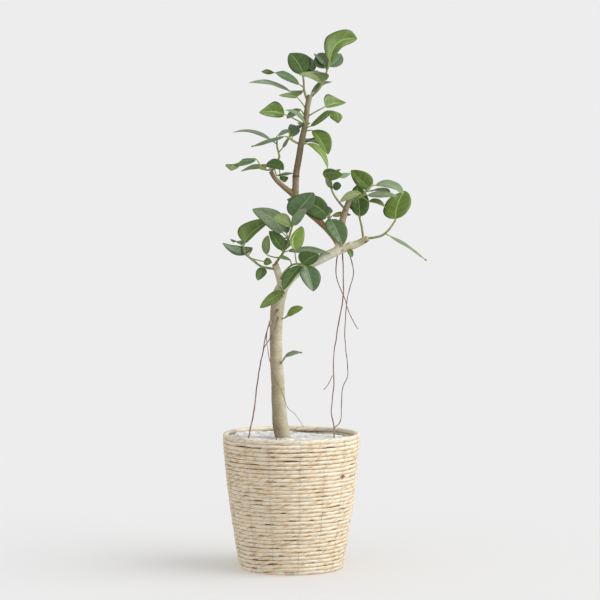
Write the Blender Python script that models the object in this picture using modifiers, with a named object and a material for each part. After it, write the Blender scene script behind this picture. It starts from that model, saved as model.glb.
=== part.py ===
"""A young bengal fig in a coiled rope basket.

Metres, +Z up, the front is -Y. The origin is the middle of the basket's flat underside.
Places of limbs, twigs and leaves are whole millimetres, turned to metres by mm().
"""

import math
import random

import bmesh
import bpy
from mathutils import Vector
from mathutils.bvhtree import BVHTree
from mathutils.geometry import intersect_point_line

SEED = 23
GAP = 0.0003  # between touching solids
TINY = 0.00001  # merge distance
SHARP_ANGLE = math.radians(35)
LIMB_STEP = 0.014  # between the sections of a limb, an aerial root and a twig
ROOT_STEP = 0.024
TWIG_STEP = 0.018
LEAST_STEP = 0.003

# Basket: a tapering wall of rope courses with one thicker rope as its rim.
BASKET_HEIGHT = 0.298
RIM_ROPE = 0.013
RIM_RADIUS = 0.1455
ROPE_COURSES = 25
WALL = 0.0115
FLOOR = 0.012
FOOT_RADIUS = 0.109
GROOVE_DEPTH = 0.0022
BASKET_SEGMENTS = 36

# Soil, and the crumpled film laid over it inside the rim.
SOIL_TOP = 0.276
SOIL_CLEARANCE = 0.001
FILM_TOP = 0.2835
FILM_RADIUS = 0.1362
FILM_CRUMPLE = 0.0022
FILM_EDGE_DROP = 0.002
FILM_RINGS = 5

# Leaves: a blade that is widest below its middle, folded up a little along the midrib.
PETIOLE_RADIUS = 0.0016
PETIOLE_DROP = 0.008  # it leaves its twig this far below the blade, unless a leaf says where
PETIOLE_SAG = 0.15  # of its length
BLADE_STATIONS = (0.1, 0.3, 0.55, 0.8)
BLADE_WIDTH = 0.52  # of its length
BLADE_BELLY = 0.85  # below 1 it is widest nearer its base
BLADE_ROUNDNESS = 0.6
BLADE_THICKNESS = 0.024  # of its length, along the midrib
BLADE_FOLD = math.radians(17)
BLADE_ARCH = 0.07
BLADE_CLEAR = 0.004  # the first look for cover starts this far before a leaf

# Leaves that the rule adds behind each shoot.
REAR_PETIOLE = 0.018
REAR_LENGTH = (0.058, 0.078)
REAR_SPREAD = math.radians(50)  # either side of straight back
REAR_RISE = (math.radians(-25), math.radians(40))
REAR_DROOP = 0.2
REAR_TRIES = 400
REAR_COVER = 0.92  # share of a rear leaf that the leaves and wood before it hide
CROWN_DEPTH = 0.125  # no leaf goes further than this from the plane of the trunk

UP = Vector((0, 0, 1))
FRONT = Vector((0, -1, 0))
BACK = Vector((0, 1, 0))
LEFT = Vector((-1, 0, 0))
RIGHT = Vector((1, 0, 0))


def mm(point):
    return Vector(point) / 1000


# Each limb route is (x, y, z, radius) in millimetres, from its foot to its tip.
# One line runs from the soil through the fork and along the bough to its cut end on the right.
TRUNK_LINE = [
    (-14, 0, 258, 21), (-18, 0, 283, 17.8), (-25, 0, 322, 17), (-28, 0, 366, 15.5), (-30, 1, 411, 14.7),
    (-33, 2, 457, 14.1), (-34, 3, 501, 13.5), (-33, 2, 547, 14.5), (-31, 1, 572, 15.4), (-27, 0, 600, 15.6),
    (-16, -1, 624, 13.6), (4, -3, 646, 12), (26, -5, 662, 11.4), (48, -7, 674, 11.2), (74, -10, 686, 10.6),
    (96, -12, 697, 10), (114, -14, 704, 9.4), (129, -17, 709, 9.1), (147, -21, 716, 8), (160, -25, 723, 7.4),
    (169, -28, 727, 5.8),
]
TRUNK_END = 0.6  # shares of that line where the trunk and the main bough end
MAIN_BOUGH_END = 0.9
# The limb that turns back to the left over the fork, and the cut stub it ends in.
LEADER_LIMB_LINE = [
    (110, -13, 703, 8.2), (92, -4, 732, 7.4), (63, 0, 762, 7.2), (32, 5, 789, 7.4), (10, 10, 817, 7.4),
    (-20, 14, 842, 5.8), (-36, 15, 858, 5.3), (-46, 15, 874, 5),
]
LEADER_LIMB_END = 0.68
# The leader rises from that limb, bare at first and then clothed in leaves.
LEADER_LINE = [
    (9, 10, 812, 7.6), (10, 11, 863, 7.3), (17, 12, 905, 7.1), (22, 12, 936, 6.9), (31, 11, 979, 6.6),
    (35, 10, 1013, 6.4), (41, 9, 1041, 6),
]
LEADER_END = 0.49
LEADER_LEAVES_END = 0.84
RISER_LINE = [(112, -14, 704, 8), (110, -16, 735, 7.8), (113, -18, 769, 7.4), (127, -21, 812, 6.2)]
LOW_STUB_LINE = [(-20, -1, 618, 8.4), (-26, -2, 640, 8.2), (-36, -5, 671, 7.4)]

AERIAL_ROOTS = {
    "aerial_root_long": [
        (112, -14, 700, 1.5), (114, -16, 606, 1.3), (103, -12, 535, 1.3), (93, -4, 464, 1.2), (94, 2, 405, 1.2),
        (88, 4, 346, 1.2), (94, 4, 313, 1.4), (93, 4, 276, 1.6),
    ],
    "aerial_root_second": [
        (122, -17, 706, 1.4), (136, -20, 654, 1.2), (122, -24, 591, 1.1), (117, -24, 510, 1.1),
        (124, -12, 430, 1), (112, -6, 393, 1), (109, 0, 328, 1), (93, 4, 306, 1),
    ],
    "aerial_root_free": [
        (102, -11, 696, 1.4), (98, -8, 646, 1.2), (114, -3, 603, 1.1), (128, -6, 563, 1), (142, -5, 534, 0.9),
        (147, -5, 527, 0.8),
    ],
    "aerial_root_rootlet": [(91, 0, 424, 0.9), (80, -6, 404, 0.8), (71, -8, 393, 0.7)],
    "aerial_root_left": [
        (-31, -13, 570, 1.5), (-46, -21, 543, 1.4), (-52, -23, 529, 1.4), (-57, -23, 506, 1.4),
        (-61, -23, 484, 1.4), (-70, -22, 440, 1.4), (-75, -20, 403, 1.5), (-84, -13, 338, 1.5),
        (-97, -6, 276, 1.7),
    ],
    "aerial_root_left_branch": [
        (-29, -12, 553, 1.2), (-35, -20, 531, 1.2), (-46, -25, 508, 1.1), (-60, -24, 487, 1),
    ],
    "aerial_root_fine": [
        (-40, -4, 548, 1), (-51, -8, 528, 0.9), (-54, -12, 507, 0.9), (-50, -17, 474, 0.8), (-46, -20, 452, 0.8),
        (-36, -21, 419, 0.8), (-23, -22, 396, 0.7), (-15, -22, 373, 0.7), (-7, -20, 354, 0.7), (10, -16, 337, 0.6),
        (26, -8, 311, 0.6),
    ],
    "aerial_root_basal": [(-26, -6, 318, 1.3), (-30, -21, 304, 1.1), (-35, -26, 276, 1.1)],
}


class Leaf:
    """One leaf by its blade: base, reach from base to tip, and the way its upper face looks."""

    def __init__(self, base, reach, faces, width=None, arch=BLADE_ARCH, sweep=0, at=None):
        self.base = mm(base)
        self.reach = mm(reach)
        self.faces = faces
        self.length = self.reach.length
        self.width = width / 1000 if width else self.length * BLADE_WIDTH
        self.arch = arch  # rise of its middle, as a share of its length
        self.sweep = sweep  # and how far it bows to its clockwise side
        self.root = mm(at) if at else self.base - UP * PETIOLE_DROP  # where its petiole leaves the twig


class Shoot:
    """A mass of leaves on twigs; the first twig is the stem that stands on a limb."""

    def __init__(self, twigs, leaves, rear=0, section=None):
        self.twigs = twigs
        self.leaves = leaves
        self.rear = rear
        self.section = section  # of the leader's line, where that is the stem


def shoots():
    """Every mass of foliage from the top down."""
    return {
        "crown_top": Shoot(
            [
                [(34, 10, 1031, 2.6), (28, 12, 1051, 2.4), (27, 15, 1072, 2.2), (25, 17, 1086, 2)],
                [
                    (38, 9, 1032, 3), (57, 5, 1050, 2.6), (65, 4, 1060, 2.4), (73, 2, 1078, 2.2),
                    (83, -2, 1110, 2),
                ],
            ],
            [
                Leaf((26, 18, 1088), (-22, 44, 44), FRONT + UP * 0.6, width=50),
                Leaf((28, 26, 1090), (20, 52, 40), FRONT + UP * 0.6),
                Leaf((17, 10, 1063), (-83, -6, 31), UP + FRONT * 0.45, arch=0.02),
                Leaf((82, -4, 1107), (62, 28, 74), FRONT + UP * 0.3, width=40, sweep=-0.17),
                Leaf((78, 6, 1097), (-26, 50, 38), FRONT + UP * 0.6, width=44),
                Leaf((83, 4, 1100), (26, 52, 36), FRONT + UP * 0.6, width=40),
                Leaf((66, 0, 1060), (-40, -46, 28), BACK * 0.5 + UP, width=54),
                Leaf((44, 14, 1044), (46, 20, 28), UP + BACK * 0.2, width=36),
                Leaf((-3, 8, 1048), (-90, -22, 20), UP + FRONT * 0.15, arch=0.09),
                Leaf((19, -2, 1037), (-45, -48, 2), BACK * 0.6 + UP, width=40, at=(30, 10, 1006)),
            ],
            rear=3,
            section=(LEADER_LEAVES_END, 1),
        ),
        "leader_leaves": Shoot(
            [[(20, 12, 932, 2.6), (6, 8, 939, 2.4), (-5, 4, 946, 2.2)]],
            [
                Leaf((69, 0, 1020), (51, 46, 9), FRONT + UP * 0.6, width=40, at=(32, 10, 991)),
                Leaf((-14, 0, 1000), (-56, -44, 3), FRONT + UP * 0.6, width=44, at=(23, 10, 976)),
                Leaf((16, 0, 977), (-29, -46, 31), UP, width=30),
                Leaf((18, 24, 1006), (-27, 40, -14), UP, width=28, at=(29, 12, 988)),
                Leaf((48, 2, 974), (57, -26, 2), UP + FRONT * 0.9, width=42, arch=0.34),
                Leaf((48, 0, 963), (33, -38, -55), FRONT + RIGHT * 0.4 + UP * 0.3, width=44),
                Leaf((31, 4, 937), (44, 16, -62), FRONT * 0.5 + UP * 0.8 + RIGHT * 0.8, width=40, arch=0.16),
                Leaf((-15, -2, 950), (-71, -38, -22), UP, width=36),
                Leaf((-7, 10, 963), (-27, 50, -17), UP, width=32),
                Leaf((2, 4, 947), (7, 40, 30), FRONT + UP * 0.6, width=28),
            ],
            rear=4,
            section=(LEADER_END, LEADER_LEAVES_END),
        ),
        "left_shoot": Shoot(
            [
                [
                    (-45, 15, 871, 2.8), (-28, 12, 900, 2.4), (-27, 11, 910, 2.2), (-31, 11, 926, 2),
                    (-32, 12, 944, 1.6),
                ],
                [(-45, 14, 879, 2.2), (-51, 9, 876, 2.1), (-66, 6, 879, 1.9)],
            ],
            [
                Leaf((-43, 14, 940), (-87, 22, 20), UP + BACK * 0.1, width=36, arch=0.13),
                Leaf((-19, 4, 924), (14, -20, 20), BACK * 0.5 + UP, width=14),
                Leaf((-53, 0, 881), (35, -38, 0), FRONT + UP, width=44),
                Leaf((-84, 6, 897), (-53, -48, -22), UP + FRONT * 0.4, width=40, arch=0.04),
                Leaf((-60, 8, 878), (-47, 40, -1), UP, width=34),
                Leaf((-29, -2, 866), (33, -44, 0), UP + BACK * 0.4, width=30, at=(-37, 13, 884)),
                Leaf((-29, -4, 862), (14, -42, -24), UP + FRONT * 0.5, width=20, at=(-27, 11, 905)),
            ],
            rear=2,
        ),
        "low_left_shoot": Shoot(
            [
                [
                    (-36, -7, 659, 2.8), (-54, -9, 662, 2.6), (-68, -10, 666, 2.5), (-86, -10, 680, 2.4),
                    (-101, -8, 693, 2.2), (-105, -4, 707, 2), (-102, 0, 718, 1.8),
                ]
            ],
            [
                Leaf((-102, 0, 718), (60, 26, 50), FRONT + UP * 0.3, width=42, sweep=-0.21),
                Leaf((-87, -6, 702), (-65, -38, 13), FRONT + UP * 0.6, width=34, arch=-0.18),
                Leaf((-67, -14, 663), (-6, -20, -28), FRONT + UP * 0.4, width=27),
                Leaf((-60, -18, 676), (18, -10, -2), FRONT + UP * 0.3, width=18, at=(-89, -10, 682)),
            ],
            rear=2,
        ),
        "middle_shoot": Shoot(
            [
                [
                    (-35, -6, 671, 3), (-27, -10, 682, 2.8), (-18, -14, 695, 2.6), (-13, -18, 710, 2.5),
                    (-6, -20, 727, 2.3), (-1, -22, 743, 2.1), (2, -23, 755, 1.9),
                ]
            ],
            [
                Leaf((-18, -20, 738), (-68, 20, 54), FRONT + UP * 0.4, width=38),
                Leaf((-56, -16, 691), (1, -20, 45), BACK * 0.5 + UP, width=22, at=(-25, -11, 684)),
                Leaf((-18, -30, 701), (-29, 26, 38), FRONT + UP * 0.4, width=36),
                Leaf((-1, -26, 753), (-34, -46, 22), BACK * 0.5 + UP, width=38),
                Leaf((5, -30, 755), (29, -14, 35), FRONT + UP * 0.3, width=18),
                Leaf((-6, -24, 776), (55, -8, 51), FRONT + UP * 0.3, width=44),
                Leaf((-7, -8, 732), (-9, 54, 35), FRONT + UP * 0.6, width=36),
                Leaf((-8, -12, 698), (94, -20, -11), UP + FRONT * 0.5, width=40, arch=0),
            ],
            rear=2,
        ),
        "fork_shoot": Shoot(
            [
                [
                    (-24, -7, 636, 2.6), (-16, -20, 652, 2.4), (-1, -27, 667, 2.2), (10, -30, 671, 2.1),
                    (24, -33, 672, 1.9),
                ]
            ],
            [
                Leaf((7, -42, 701), (15, 16, 53), FRONT + UP * 0.3, width=36),
                Leaf((14, -41, 672), (46, -34, 19), FRONT * 0.8 + UP, width=38),
                Leaf((21, -36, 668), (-38, -12, -55), FRONT * 0.6 + LEFT * 0.6 + UP * 0.5, width=36),
                Leaf((31, -36, 669), (21, -22, -59), FRONT + UP * 0.3, width=44),
                Leaf((-7, -32, 678), (-24, -34, 10), FRONT * 0.5 + UP, width=28),
            ],
        ),
        "right_bough_shoot": Shoot(
            [[(158, -22, 724, 2.6), (154, -16, 752, 2.3), (149, -6, 774, 2)]],
            [Leaf((150, -4, 774), (-6, 28, 67), FRONT + UP * 0.3, width=45)],
            rear=2,
        ),
        "centre_shoot": Shoot(
            [[(77, -3, 750, 2.8), (80, -8, 760, 2.5), (83, -12, 776, 2.2)]],
            [
                Leaf((76, -12, 780), (-86, -2, 34), FRONT + UP * 0.3, width=42, sweep=0.09),
                Leaf((83, -6, 780), (-12, 54, 20), FRONT + UP * 0.6, width=30),
                Leaf((85, -18, 769), (26, -26, -59), FRONT + UP * 0.3, width=48),
                Leaf((90, -4, 776), (45, 40, 3), UP + FRONT * 0.5, width=34),
            ],
            rear=2,
        ),
        "riser_left_shoot": Shoot(
            [
                [
                    (118, -20, 790, 2.6), (105, -21, 805, 2.4), (94, -20, 821, 2.2), (88, -18, 835, 2),
                    (87, -15, 856, 1.8),
                ]
            ],
            [
                Leaf((79, -16, 860), (33, -36, 5), FRONT + UP, width=36),
                Leaf((87, -12, 857), (-2, 38, 10), FRONT + UP * 0.7, width=32),
                Leaf((85, -20, 837), (-10, -42, 21), BACK * 0.6 + UP, width=14),
                Leaf((90, -20, 839), (19, -20, 2), FRONT, width=20),
                Leaf((96, -8, 861), (34, 16, 8), FRONT + UP, width=16),
            ],
            rear=1,
        ),
        "riser_top_shoot": Shoot(
            [
                [
                    (126, -21, 808, 2.8), (140, -25, 815, 2.6), (154, -28, 818, 2.4), (163, -29, 829, 2.2),
                    (174, -28, 841, 2),
                ]
            ],
            [
                Leaf((167, -30, 834), (-37, 50, 44), FRONT + RIGHT * 0.3 + UP * 0.5, width=42, sweep=-0.07),
                Leaf((183, -28, 842), (63, -18, -22), UP + FRONT * 0.7, width=42, arch=0.1, sweep=-0.1),
                Leaf((164, -36, 817), (69, -26, -3), UP + FRONT * 0.45, width=38, arch=0.12),
                Leaf((168, -34, 804), (38, -16, -12), UP + FRONT * 0.3, width=30, arch=0.2),
                Leaf((151, -32, 824), (-46, -42, -20), UP + BACK * 0.4, width=46),
            ],
            rear=2,
        ),
        "right_tip_shoot": Shoot(
            [
                [
                    (167, -28, 727, 2.8), (182, -31, 729, 2.6), (199, -33, 734, 2.4), (213, -33, 746, 2.2),
                    (225, -31, 763, 2),
                ]
            ],
            [
                Leaf((225, -30, 765), (22, 40, 69), FRONT + UP * 0.4, width=61, sweep=-0.08),
                Leaf((215, -36, 731), (80, -10, -52), UP + RIGHT * 0.4, width=26, arch=0.06),
            ],
            rear=2,
        ),
        "bough_leaf": Shoot(
            [[(127, -24, 703, 1.6), (129, -26, 698, 1.5)]],
            [Leaf((129, -27, 697), (10, -12, -19), FRONT + UP * 0.4, width=14)],
        ),
        "trunk_leaf_upper": Shoot(
            [[(-26, -10, 622, 1.8), (-22, -20, 616, 1.7), (-17, -24, 609, 1.6)]],
            [Leaf((-17, -25, 608), (-52, -24, -34), FRONT * 0.6 + UP + LEFT * 0.3, width=30)],
        ),
        "trunk_leaf_middle": Shoot(
            [[(-21, -5, 549, 1.6), (-12, -7, 553, 1.5)]],
            [Leaf((-9, -7, 560), (36, -32, 17), UP + BACK * 0.2, width=26)],
        ),
        "trunk_leaf_lower": Shoot(
            [[(-25, -8, 450, 1.6), (-17, -15, 460, 1.5)]],
            [Leaf((-15, -16, 467), (34, -24, 8), UP, width=22)],
        ),
    }


def smooth_line(route, step=LIMB_STEP):
    """Points and radii along a Catmull-Rom curve through a limb's route, about a step apart."""
    stops = [(mm(row[:3]), row[3] / 1000) for row in route]
    first = (stops[0][0] * 2 - stops[1][0], stops[0][1])
    last = (stops[-1][0] * 2 - stops[-2][0], stops[-1][1])
    padded = [first] + stops + [last]
    line = []
    for i in range(1, len(padded) - 2):
        a, b, c, d = (padded[i + k][0] for k in (-1, 0, 1, 2))
        pieces = max(1, round((c - b).length / step))
        for j in range(pieces):
            t = j / pieces
            place = 0.5 * (
                2 * b + (c - a) * t + (2 * a - 5 * b + 4 * c - d) * t**2 + (3 * b - a - 3 * c + d) * t**3
            )
            line.append((place, padded[i][1] * (1 - t) + padded[i + 1][1] * t))
    line.append(stops[-1])
    return line


def section(line, start, end):
    """The stretch of a line between two shares of its length, short of each inner end by half a gap."""
    along = [0]
    for (a, _), (b, _) in zip(line, line[1:]):
        along.append(along[-1] + (b - a).length)
    total = along[-1]
    low = start * total + (GAP / 2 if start > 0 else 0)
    high = end * total - (GAP / 2 if end < 1 else 0)

    def at(distance):
        for i in range(len(line) - 1):
            if along[i + 1] >= distance:
                t = (distance - along[i]) / (along[i + 1] - along[i])
                return line[i][0].lerp(line[i + 1][0], t), line[i][1] * (1 - t) + line[i + 1][1] * t
        return line[-1]

    middle = [row for row, d in zip(line, along) if low + LEAST_STEP < d < high - LEAST_STEP]
    return [at(low)] + middle + [at(high)]


def material(name, colour, roughness):
    surface = bpy.data.materials.new(name)
    surface.use_nodes = True
    shader = surface.node_tree.nodes["Principled BSDF"]
    shader.inputs["Base Color"].default_value = (*colour, 1)
    shader.inputs["Roughness"].default_value = roughness
    shader.inputs["Metallic"].default_value = 0
    return surface


def add_object(name, mesh, collection, surface=None):
    obj = bpy.data.objects.new(name, mesh)
    collection.objects.link(obj)
    if surface:
        mesh.materials.append(surface)
    return obj


def tube(name, line, resolution, collection, swell=0.0):
    """A round tapering limb: a poly curve with a bevel, made a mesh with its caps welded."""
    curve = bpy.data.curves.new(name, "CURVE")
    curve.dimensions = "3D"
    curve.bevel_depth = 1
    curve.bevel_resolution = resolution
    curve.use_fill_caps = True
    spline = curve.splines.new("POLY")
    spline.points.add(len(line) - 1)
    for point, (place, radius) in zip(spline.points, line):
        point.co = (*place, 1)
        point.radius = radius + swell
    drawn = bpy.data.objects.new(name + "_curve", curve)
    bpy.context.scene.collection.objects.link(drawn)
    bpy.context.view_layer.update()
    mesh = bpy.data.meshes.new_from_object(drawn.evaluated_get(bpy.context.evaluated_depsgraph_get()))
    place = drawn.matrix_world.copy()
    bpy.data.objects.remove(drawn)
    bm = bmesh.new()
    bm.from_mesh(mesh)
    bmesh.ops.remove_doubles(bm, verts=bm.verts, dist=TINY)
    bmesh.ops.recalc_face_normals(bm, faces=bm.faces)
    bm.to_mesh(mesh)
    bm.free()
    obj = add_object(name, mesh, collection)
    obj.matrix_world = place
    return obj


def boolean(obj, operation, other, solver="EXACT"):
    """Cuts or joins a piece with an object or a whole collection, and applies it."""
    change = obj.modifiers.new("change", "BOOLEAN")
    change.operation = operation
    change.solver = solver
    if isinstance(other, bpy.types.Collection):
        change.operand_type = "COLLECTION"
        change.collection = other
    else:
        change.object = other
    bpy.context.view_layer.update()
    mesh = bpy.data.meshes.new_from_object(obj.evaluated_get(bpy.context.evaluated_depsgraph_get()))
    obj.modifiers.clear()
    old = obj.data
    obj.data = mesh
    bpy.data.meshes.remove(old)


def islands(bm):
    """The separate bodies of a mesh, as lists of faces."""
    left = set(bm.faces)
    found = []
    while left:
        body = []
        queue = [left.pop()]
        while queue:
            face = queue.pop()
            body.append(face)
            for edge in face.edges:
                for near in edge.link_faces:
                    if near in left:
                        left.discard(near)
                        queue.append(near)
        found.append(body)
    return found


def tidy_solid(obj):
    """Leaves one body: sealed hollows are filled, scraps dropped, and slivers where that opens nothing."""
    for drop_slivers in (True, False):
        bm = bmesh.new()
        bm.from_mesh(obj.data)
        bmesh.ops.remove_doubles(bm, verts=bm.verts, dist=TINY)
        if drop_slivers:
            bmesh.ops.dissolve_degenerate(bm, edges=bm.edges, dist=TINY)
        bmesh.ops.triangulate(bm, faces=bm.faces)
        bodies = sorted(islands(bm), key=len)
        for body in bodies[:-1]:
            bmesh.ops.delete(bm, geom=body, context="FACES")
        closed = all(edge.is_manifold for edge in bm.edges)
        if closed or not drop_slivers:
            bm.to_mesh(obj.data)
            bm.free()
            return
        bm.free()


def outer_radius(height):
    """Radius of the basket over its rope courses, which bellies a little."""
    return 0.1145 + 0.185 * height - 0.19 * height**2


def screw(name, profile, segments, collection):
    """A turned solid from (radius, height) points that start and end on the axis."""
    mesh = bpy.data.meshes.new(name)
    mesh.from_pydata([(r, 0, z) for r, z in profile], [(i, i + 1) for i in range(len(profile) - 1)], [])
    obj = add_object(name, mesh, collection)
    turn = obj.modifiers.new("turn", "SCREW")
    turn.steps = segments
    turn.render_steps = segments
    turn.use_merge_vertices = True
    turn.merge_threshold = 0.0001
    return obj


def make_basket(collection):
    wall_top = BASKET_HEIGHT - RIM_ROPE - GAP
    pitch = wall_top / ROPE_COURSES
    profile = [(0, FLOOR), (outer_radius(FLOOR) - WALL, FLOOR), (outer_radius(wall_top) - WALL, wall_top)]
    profile.append((outer_radius(wall_top) - GROOVE_DEPTH, wall_top))
    for course in reversed(range(ROPE_COURSES)):
        crest = (course + 0.5) * pitch
        profile.append((outer_radius(crest), crest))
        if course > 0:
            groove = course * pitch
            profile.append((outer_radius(groove) - GROOVE_DEPTH, groove))
    profile += [(FOOT_RADIUS, 0), (0, 0)]
    basket = screw("basket", profile, BASKET_SEGMENTS, collection)
    basket.data.materials.append(material("straw_rope", (0.69, 0.58, 0.4), 0.85))


def make_rim(collection):
    bpy.ops.mesh.primitive_torus_add(
        major_segments=BASKET_SEGMENTS,
        minor_segments=8,
        major_radius=RIM_RADIUS,
        minor_radius=RIM_ROPE / 2,
        location=(0, 0, BASKET_HEIGHT - RIM_ROPE / 2),
    )
    rim = bpy.context.object
    rim.name = "basket_rim"
    for owner in list(rim.users_collection):
        owner.objects.unlink(rim)
    collection.objects.link(rim)
    rim.data.materials.append(material("rim_rope", (0.74, 0.65, 0.47), 0.8))


def make_soil(collection):
    low = FLOOR + GAP
    slope = (outer_radius(SOIL_TOP) - outer_radius(FLOOR)) / (SOIL_TOP - FLOOR)
    foot = outer_radius(FLOOR) - WALL - SOIL_CLEARANCE
    profile = [(0, SOIL_TOP), (foot + slope * (SOIL_TOP - low) - SOIL_CLEARANCE, SOIL_TOP), (foot, low), (0, low)]
    soil = screw("soil", profile, BASKET_SEGMENTS, collection)
    soil.data.materials.append(material("potting_soil", (0.09, 0.06, 0.04), 0.95))


def make_film(collection, cutters):
    """The crumpled film over the soil, cut away round the trunk and the roots that enter it."""
    low = SOIL_TOP + GAP
    bpy.ops.mesh.primitive_circle_add(vertices=BASKET_SEGMENTS, radius=FILM_RADIUS, fill_type="TRIFAN")
    film = bpy.context.object
    film.name = "liner_film"
    for owner in list(film.users_collection):
        owner.objects.unlink(film)
    collection.objects.link(film)
    bm = bmesh.new()
    bm.from_mesh(film.data)
    spokes = [edge for edge in bm.edges if any(vert.co.length < TINY for vert in edge.verts)]
    bmesh.ops.subdivide_edges(bm, edges=spokes, cuts=FILM_RINGS - 1)
    top = list(bm.verts)
    draw = random.Random(SEED)
    bottom = bmesh.ops.extrude_face_region(bm, geom=list(bm.faces))
    for vert in (item for item in bottom["geom"] if isinstance(item, bmesh.types.BMVert)):
        fade = 1 - (vert.co.to_2d().length / FILM_RADIUS) ** 4
        vert.co.z = FILM_TOP + draw.uniform(-FILM_CRUMPLE, FILM_CRUMPLE) - FILM_EDGE_DROP * (1 - fade)
    for vert in top:
        vert.co.z = low
    bmesh.ops.recalc_face_normals(bm, faces=bm.faces)
    bm.to_mesh(film.data)
    bm.free()
    for cutter in cutters:
        boolean(film, "DIFFERENCE", cutter)
    tidy_solid(film)
    film.data.materials.append(material("clear_film", (0.72, 0.72, 0.7), 0.35))


def flat_foot(obj, height):
    """Cuts a limb flat at a height and closes the cut."""
    bm = bmesh.new()
    bm.from_mesh(obj.data)
    cut = bmesh.ops.bisect_plane(
        bm,
        geom=bm.verts[:] + bm.edges[:] + bm.faces[:],
        plane_co=(0, 0, height),
        plane_no=(0, 0, 1),
        clear_inner=True,
    )
    rim = [item for item in cut["geom_cut"] if isinstance(item, bmesh.types.BMEdge)]
    bmesh.ops.holes_fill(bm, edges=rim)
    bmesh.ops.recalc_face_normals(bm, faces=bm.faces)
    bm.to_mesh(obj.data)
    bm.free()


def leaf_frame(leaf):
    along = leaf.reach.normalized()
    up = (leaf.faces - along * leaf.faces.dot(along)).normalized()
    return along, up, along.cross(up)


def nearest_on(lines, place):
    """The point of a shoot's twigs that is nearest to a place."""
    best = None
    for line in lines:
        for (a, _), (b, _) in zip(line, line[1:]):
            point, share = intersect_point_line(place, a, b)
            point = a.lerp(b, min(1, max(0, share)))
            if best is None or (point - place).length < (best - place).length:
                best = point
    return best


def half_width(leaf, t):
    return leaf.width / 2 * math.sin(math.pi * t**BLADE_BELLY) ** BLADE_ROUNDNESS


def leaf_solid(name, leaf, root, collection, swell=0.0):
    """A petiole sunk into its twig and a thin folded blade, lofted through four-sided sections."""
    along, up, side = leaf_frame(leaf)
    bm = bmesh.new()
    rings = []

    def ring(centre, across, over, wide, thick, lift=0.0):
        rings.append(
            [
                bm.verts.new(centre - across * wide + over * lift),
                bm.verts.new(centre + over * thick),
                bm.verts.new(centre + across * wide + over * lift),
                bm.verts.new(centre - over * thick),
            ]
        )

    stalk = leaf.base - root
    bend = root + stalk * 0.5 - along * stalk.length * PETIOLE_SAG
    for s in (0, 0.5, 1):
        centre = root * (1 - s) ** 2 + bend * 2 * s * (1 - s) + leaf.base * s**2
        way = ((bend - root) * (1 - s) + (leaf.base - bend) * s).normalized()
        across = side - way * side.dot(way)
        across = across.normalized() if across.length > 0.2 else side
        ring(centre, across, across.cross(way), PETIOLE_RADIUS + swell, PETIOLE_RADIUS + swell)
    thick = leaf.length * BLADE_THICKNESS / 2 + swell
    for t in BLADE_STATIONS:
        wide = half_width(leaf, t) + swell
        bow = (up * leaf.arch + side * leaf.sweep) * leaf.length * 4 * t * (1 - t)
        centre = leaf.base + leaf.reach * t + bow
        ring(centre, side, up, wide * math.cos(BLADE_FOLD), thick * (1 - 0.4 * t), wide * math.sin(BLADE_FOLD))
    tip = bm.verts.new(leaf.base + leaf.reach)
    bm.faces.new(rings[0])
    for a, b in zip(rings, rings[1:]):
        for k in range(4):
            bm.faces.new((a[k], a[(k + 1) % 4], b[(k + 1) % 4], b[k]))
    for k in range(4):
        bm.faces.new((rings[-1][k], rings[-1][(k + 1) % 4], tip))
    bmesh.ops.triangulate(bm, faces=bm.faces)
    bmesh.ops.recalc_face_normals(bm, faces=bm.faces)
    mesh = bpy.data.meshes.new(name)
    bm.to_mesh(mesh)
    bm.free()
    return add_object(name, mesh, collection)


def tree_of(obj):
    """The surface of a piece, to test what touches it."""
    bm = bmesh.new()
    bm.from_mesh(obj.data)
    tree = BVHTree.FromBMesh(bm)
    bm.free()
    return tree


def grow(name, leaves, lines, standing, masses, collection):
    """The leaves of a mass that keep within the crown and clear of the wood and every other mass."""
    kept = []
    for leaf in leaves:
        root = nearest_on(lines, leaf.root)
        probe = leaf_solid("probe", leaf, root, collection, swell=2 * GAP)
        surface = tree_of(probe)
        bpy.data.objects.remove(probe)
        others = standing + [tree for other, trees in masses.items() if other != name for tree in trees]
        inside = abs((leaf.base + leaf.reach).y) < CROWN_DEPTH
        if inside and not any(surface.overlap(tree) for tree in others):
            kept.append((leaf, root))
            masses[name].append(surface)
    return kept


def rear_leaf(lines, draw):
    """A leaf that points backward from a random place on a shoot's twigs."""
    line = draw.choice(lines)
    root = draw.choice(line)[0]
    heading = draw.uniform(-REAR_SPREAD, REAR_SPREAD)
    rise = draw.uniform(*REAR_RISE)
    way = Vector((math.sin(heading) * math.cos(rise), math.cos(heading) * math.cos(rise), math.sin(rise)))
    base = (root + way * REAR_PETIOLE) * 1000
    reach = (way - UP * REAR_DROOP) * draw.uniform(*REAR_LENGTH) * 1000
    return Leaf(base, reach, UP + BACK * 0.3, at=root * 1000)


def is_covered(leaf, trees):
    """Whether most of a leaf lies behind other leaves and wood, seen from the front."""
    along, up, side = leaf_frame(leaf)
    hidden = []
    for t in (*BLADE_STATIONS, 1):
        for share in (-1, 0, 1):
            spot = leaf.base + leaf.reach * t + side * half_width(leaf, t) * share + FRONT * BLADE_CLEAR
            hidden.append(any(tree.ray_cast(spot, FRONT)[0] for tree in trees))
    return sum(hidden) >= REAR_COVER * len(hidden)


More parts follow.
